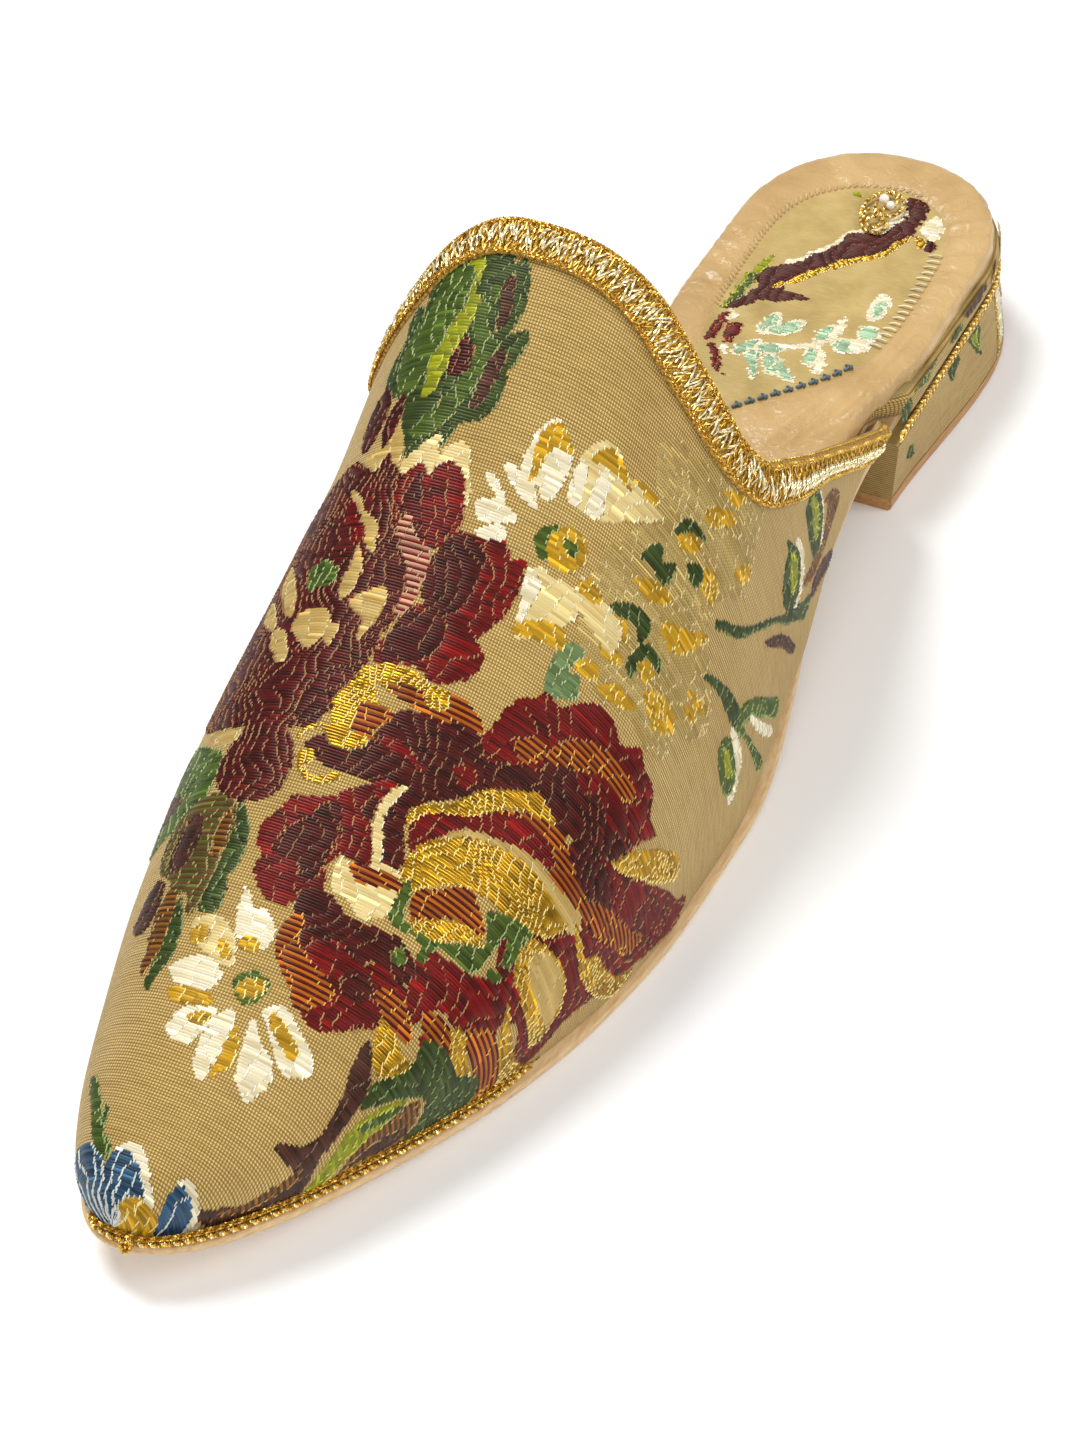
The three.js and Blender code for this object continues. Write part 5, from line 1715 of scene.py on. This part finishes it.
INSET_FIGURE = [
    ("lime", "-9,77 -8.6,82 -8.2,87 -7.2,92 -5.6,95.6 -5.6,91 -6,86 -6.6,81 -7.4,77.6"),
    ("moss", "-8.6,78 -8,83 -7.6,88 -6.6,88 -6.4,83 -7,78.6"),
    ("lime", "0,118.4 1.4,118.6 2.4,117.8 1,117.4"),
    ("white", "-3,92.6 -3,94.6 -1,96.4 0.6,99.2 2.2,102 3.6,105.6 5.4,108 8,109.4 9.4,111.6 10,116 "
     "9,119 10.5,121 12,120 11.6,115 11,110 7,106 4,101 0,95"),
    ("burgundy", "-8,76.5 -5,79 -3,81.5 0,82.2 4.8,84.8 2,85.6 -0.5,85.8 0,88 1,90 3,92.5 5,95 "
     "7,98 10,101 12,104 14,107 15,110 15.2,114 15.4,118 14,120.5 12,120.5 10.5,119 11.8,116 "
     "11.8,113 10.5,111 10,109 8.5,107.5 6,107 4,105.5 3.5,103 2.5,101 2,99 0,97 -1.5,94 -4,92 "
     "-6,90 -6.5,87 -5,85 -6,82 -8,79"),
    ("gold", "-3,85.8 -1,88.4 0.8,91.4 3,94 5,97 8,99.6 11,102.4 13,106 14.2,109.6 15,108 13.6,104 "
     "11.6,100.8 8.4,97.8 5.4,94.8 3.4,91.8 1,88.8 -1.6,86"),
    ("gold", "12.4,105.2 13.6,107.6 14.4,107.2 13.6,104.6"),
    ("white", "15.6,113 16.8,117 18.6,116 20,113 19.4,109.6 17,110.4"),
    ("maroon", "10,120.4 12,121.2 15,120.6 14,119.4 11,119.4"),
    ("maroon", "18,109.6 19.6,109 20.6,106.6 19,106.4 18,108"),
    ("gold", "15.4,109.6 17.4,109.2 18.6,106.6 17,107"),
    ("crimson", "-8,75.5 -6.6,75 -6,71 -6.4,67.4 -8,68"),
    ("crimson", "-5.6,73 -3.4,73.6 -2.6,70.4 -3.6,67.4 -5,69.6"),
    ("white", "-7,77 -5.6,76.4 -5,74.4 -6.4,74"),
    ("crimson", "-6.6,66.6 -4.6,66 -3,63 -1.2,60 -0.4,58.6 -3.4,61 -5.4,64"),
    ("white", "-4.6,67.6 -3,66.4 -2,63 -1,61 -2.4,64 -4.4,66"),
    ("white", "-1.8,66.4 1,68.4 4,70.4 8,72 10.4,74.4 11.4,78 12.6,82.6 13.6,80 13.6,76 12,73 "
     "14,70.6 15,66 13.4,65.6 12,69 11.4,71.6 8,70.6 4,69.2 1,67"),
    ("mint", "0.4,78 1.6,78.4 2.4,75.6 1.6,73 0,73.6 -0.4,75.6"),
    ("mint", "2.6,76 5,78 6.4,77.4 5.4,74.6 3,73.4 1.6,73.8"),
    ("mint", "-1.8,66.6 -0.6,69 1.6,70.4 0.8,68 -0.4,65.6"),
    ("mint", "2,69.4 4.4,70.4 6.4,69.6 4.6,68 2.4,67.6"),
    ("mint", "0.6,66.6 2.4,67.4 3.6,64 4.6,60.6 3,62 1.4,64.4"),
    ("mint", "4,67 6.4,67 7.8,64 6,62.6 4.6,64.6"),
    ("mint", "7,66.6 8.4,65.4 10.6,62.4 8.4,62.6 6.6,64.6"),
    ("mint", "10.4,71.6 12.4,70.6 12,67.4 10.6,68.6"),
    ("mint", "9.6,76.6 11.4,79 12,76.4 10.6,74.4"),
    ("mint", "13.6,75.6 16,76.4 18,74.4 16,73 14.2,73.6"),
    ("white", "15.4,88 16.4,91.4 18.4,90.4 19,86 18,83 16,84.4"),
    ("mint", "16.6,88.6 17.8,89.4 18.4,86.4 17.6,84.4 16.6,86"),
    ("mint", "16.4,80.6 18.6,81.4 20,79 18,77.4 16.6,78.6"),
    ("white", "16,77 19,78 20.2,75.4 18.4,73.6 16.4,74.6"),
]


def make_inset():
    """The oval of brocade let into the pad and its embroidery."""
    middle = INSET_RING.mean(0)
    share = np.concatenate([[0.02], np.linspace(0.1, 1.02, 24)])
    ring = middle + (INSET_RING - middle)[None] * share[:, None, None]
    x, y = ring[..., 0], ring[..., 1]
    points = lay_on_inset(x, y, 0.0)
    rows, columns = x.shape
    j = np.arange(columns)
    quads = []
    for i in range(rows - 1):
        quads.append(np.stack([i * columns + j, (i + 1) * columns + j, (i + 1) * columns + (j + 1) % columns,
                               i * columns + (j + 1) % columns], -1))
    faces = np.concatenate(quads)[:, ::-1].tolist() + [list(range(columns))]
    piece = new_piece("insole_inset_cloth", points.reshape(-1, 3), faces, inset_cloth)
    mesh = piece.data
    layer = mesh.uv_layers.new(name="cloth")
    corner = np.zeros(len(mesh.loops), int)
    mesh.loops.foreach_get("vertex_index", corner)
    layer.data.foreach_set("uv", (points.reshape(-1, 3)[:, :2] / 100)[corner].ravel())
    work = bmesh.new()
    work.from_mesh(mesh)
    bmesh.ops.recalc_face_normals(work, faces=work.faces)
    work.to_mesh(mesh)
    work.free()
    weave_figures(
        rimmed(moved(INSET_FIGURE, 0, 0), "mint", "white", 1.28),
        np.arange(48, 123, WEFT_PITCH),
        np.arange(-10, 23, STEP),
        lay_on_inset,
        lambda u, s: inside(INSET_RING, u, s),
        "inset_figure",
        0.3,
        2,
    )


def seam_place(k, away, lift):
    """A point on the seam's line, moved outwards and up."""
    n = len(INSET_RING)
    k = int(k) % n
    tangent = INSET_RING[(k + 1) % n] - INSET_RING[k - 1]
    out = np.array([tangent[1], -tangent[0]]) / np.hypot(*tangent)
    if inside(INSET_RING, *(INSET_RING[k] + out * 0.5).reshape(2, 1))[0]:
        out = -out
    x, y = INSET_RING[k] + out * away
    return np.array([x, y, float(inset_face(y)) + lift])


def stitch(parts, start, end, bow, step, radius, colour, shade):
    """One stitch, bowed up a little between its two ends."""
    path = soft_path([start, (start + end) / 2 + [0, 0, bow], end], step)
    parts.tube(path, radius, 5, colour, shade=shade)


def make_seam():
    """Pale stitches round the inset, long ones along its lateral side and dark ones across its front."""
    pale, dark = Parts(), Parts()
    n = len(INSET_RING)
    for k in range(0, n, 2):
        x, y = INSET_RING[k]
        if y > 76 and x < 12:
            a, b = seam_place(k, 0.25, 0.15), seam_place(k + 1, 0.9, 0.75)
            stitch(pale, a, b, 0.15, 0.2, 0.13, "#D9BC8A", rng.uniform(0.8, 1.05))
    for k in range(0, n, 3):
        x, y = INSET_RING[k]
        if x > 15 and 76 < y < 106:
            reach = rng.uniform(1.6, 2.2)
            a, b = seam_place(k, -reach, 0.1), seam_place(k, 0.5, 0.5)
            stitch(pale, a, b, 0.25, 0.3, 0.2, "#F0E4C0", rng.uniform(0.75, 1.0))
    for k in range(0, n, 4):
        x, y = INSET_RING[k]
        if x > 0.5 and y < 71:
            a, b = seam_place(k, 0.0, 0.3), seam_place(k + 3, 0.0, 0.3)
            stitch(dark, a, b, 0.12, 0.3, 0.3, "#5E6E76", rng.uniform(0.7, 1.2))
            c, d = seam_place(k + 1, -1.0, 0.2), seam_place(k + 1, 0.7, 0.5)
            stitch(dark, c, d, 0.2, 0.3, 0.24, "#4A5860", rng.uniform(0.8, 1.3))
    pale.piece("inset_seam_pale_stitches", ecru_thread, "gold_braid", True)
    dark.piece("inset_seam_dark_stitches", ecru_thread, "gold_braid", True)


def make_knot():
    """A knot of looped gilt cord with two small pearls."""
    knot = Parts()
    loops = [
        [(6.0, 110.0, 0.5), (3.9, 112.5, 0.7), (4.0, 116.5, 0.9), (6.0, 119.2, 1.0),
         (8.6, 118.6, 1.2), (9.2, 115.6, 1.3), (7.4, 113.4, 1.3)],
        [(5.2, 117.6, 1.2), (7.6, 119.6, 1.3), (10.4, 117.6, 1.1), (10.6, 114.0, 1.0),
         (8.6, 112.2, 1.2), (6.4, 113.0, 1.4), (5.8, 115.4, 1.3)],
        [(5.0, 113.6, 0.9), (4.6, 110.4, 0.8), (6.4, 107.6, 0.7), (9.0, 107.2, 0.8),
         (10.0, 109.4, 0.9), (8.4, 111.4, 1.2), (6.4, 110.8, 1.4)],
        [(6.6, 112.2, 1.5), (8.8, 110.4, 1.5), (8.4, 108.2, 1.2), (6.6, 108.6, 1.1), (6.0, 110.6, 1.2)],
    ]
    for loop in loops:
        path = soft_path([lay_on_inset(x, y, h) for x, y, h in loop], 0.25)
        knot.strand_cord(path, 0.4, CORD_DYES_AND_GLINT, 1.4, 4, 0.2, 0.8)
    knot.piece("insole_knot_gilt_cord", metal_thread, "gold_braid")
    for k, (x, y, r) in enumerate(((6.9, 116.3, 0.95), (8.7, 114.9, 0.8))):
        bpy.ops.mesh.primitive_uv_sphere_add(segments=24, ring_count=14, radius=r * MM)
        bead = bpy.context.object
        bead.name = "knot_pearl_" + "ab"[k]
        bead.data.name = bead.name
        bead.data.materials.append(pearl)
        bead.data.transform(Matrix.Translation(Vector(lay_on_inset(x, y, 1.7).tolist()) * MM))
        bead.data.polygons.foreach_set("use_smooth", [True] * len(bead.data.polygons))
        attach(bead, "root")


def satin_ground():
    """Khaki-gold silk satin, close and smooth, a little cloudy, with faint threads."""
    material, tree, shader = new_material("inset_satin_weave", "#B89E62", 0.5)
    place = add_node(tree, "TexCoord")
    scale = add_node(tree, "VectorMath", [(0, place.outputs["Object"])], operation="SCALE", Scale=1000.0)
    cloud = add_node(tree, "TexNoise", [("Vector", scale.outputs[0])], Scale=0.12, Detail=5.0)
    stretch = add_node(tree, "Mapping", [("Vector", scale.outputs[0])])
    stretch.inputs["Scale"].default_value = (0.5, 4.0, 1.0)
    threads = add_node(tree, "TexNoise", [("Vector", stretch.outputs[0])], Scale=1.0, Detail=3.0)
    fine = math_node(tree, "MULTIPLY", threads.outputs["Fac"], 0.5)
    both = math_node(tree, "ADD", cloud.outputs["Fac"], fine)
    colour = ramp(tree, math_node(tree, "MULTIPLY", both, 0.66), [(0.35, "#A68C50"), (0.62, "#C4AA6C")])
    tree.links.new(colour, shader.inputs["Base Color"])
    bump = add_node(tree, "Bump", [("Height", threads.outputs["Fac"])], Strength=0.3, Distance=0.0001)
    tree.links.new(bump.outputs["Normal"], shader.inputs["Normal"])
    return material


inset_cloth = satin_ground()
pearl, _, _ = new_material("small_pearl_nacre", "#F4EBDA", 0.2)
make_inset()
make_seam()
make_knot()

# ---------------------------------------------------------------- light, floor and camera
floor_paint, _, _ = new_material("matt_white_sweep", "#FCFCFC", 0.9)
bpy.ops.mesh.primitive_plane_add(size=12, location=(0, 0, 0))
floor = bpy.context.object
floor.name = "floor"
floor.data.materials.append(floor_paint)


def softbox(name, place, aim, size, power, colour=(1, 1, 1)):
    light = bpy.data.lights.new(name, "AREA")
    light.shape = "DISK"
    light.size = size
    light.energy = power
    light.color = colour
    holder = bpy.data.objects.new(name, light)
    bpy.context.collection.objects.link(holder)
    holder.location = place
    holder.rotation_euler = (Vector(aim) - Vector(place)).to_track_quat("-Z", "Y").to_euler()


world = bpy.data.worlds.new("studio")
bpy.context.scene.world = world
world.use_nodes = True
world.node_tree.nodes["Background"].inputs["Color"].default_value = (1, 1, 1, 1)
world.node_tree.nodes["Background"].inputs["Strength"].default_value = 0.34
softbox("key_above", (-0.55, 0.15, 1.15), (0, 0, 0.03), 0.55, 12)
softbox("fill_front", (0.35, -1.1, 0.9), (0, 0, 0.03), 0.6, 6)
softbox("fill_right", (1.1, 0.3, 0.9), (0, 0, 0.03), 0.9, 8)

CAMERA_TURN, CAMERA_RISE, CAMERA_ROLL = (math.radians(v) for v in (27.5, 43.5, -2.5))
CAMERA_REACH = 478.8
CAMERA_LENS = 76.7
CAMERA_AIM = np.array([3.5, -28.6, 20.0]) + FRAME_SHIFT


def set_camera():
    a, e, r = CAMERA_TURN, CAMERA_RISE, CAMERA_ROLL
    back = np.array([math.sin(a) * math.cos(e), -math.cos(a) * math.cos(e), math.sin(e)])
    level = np.array([math.cos(a), math.sin(a), 0.0])
    up = np.cross(back, level)
    right = level * math.cos(r) + up * math.sin(r)
    top = -level * math.sin(r) + up * math.cos(r)
    place = (CAMERA_AIM + back * CAMERA_REACH) * MM
    camera = bpy.data.objects.new("camera", bpy.data.cameras.new("camera"))
    bpy.context.collection.objects.link(camera)
    turn = Matrix([right, top, back]).transposed().to_4x4()
    camera.matrix_world = Matrix.Translation(place) @ turn
    camera.data.sensor_width = 36
    camera.data.lens = CAMERA_LENS
    camera.data.clip_start = 0.01
    bpy.context.scene.camera = camera


set_camera()
bpy.context.scene.view_settings.view_transform = "Standard"
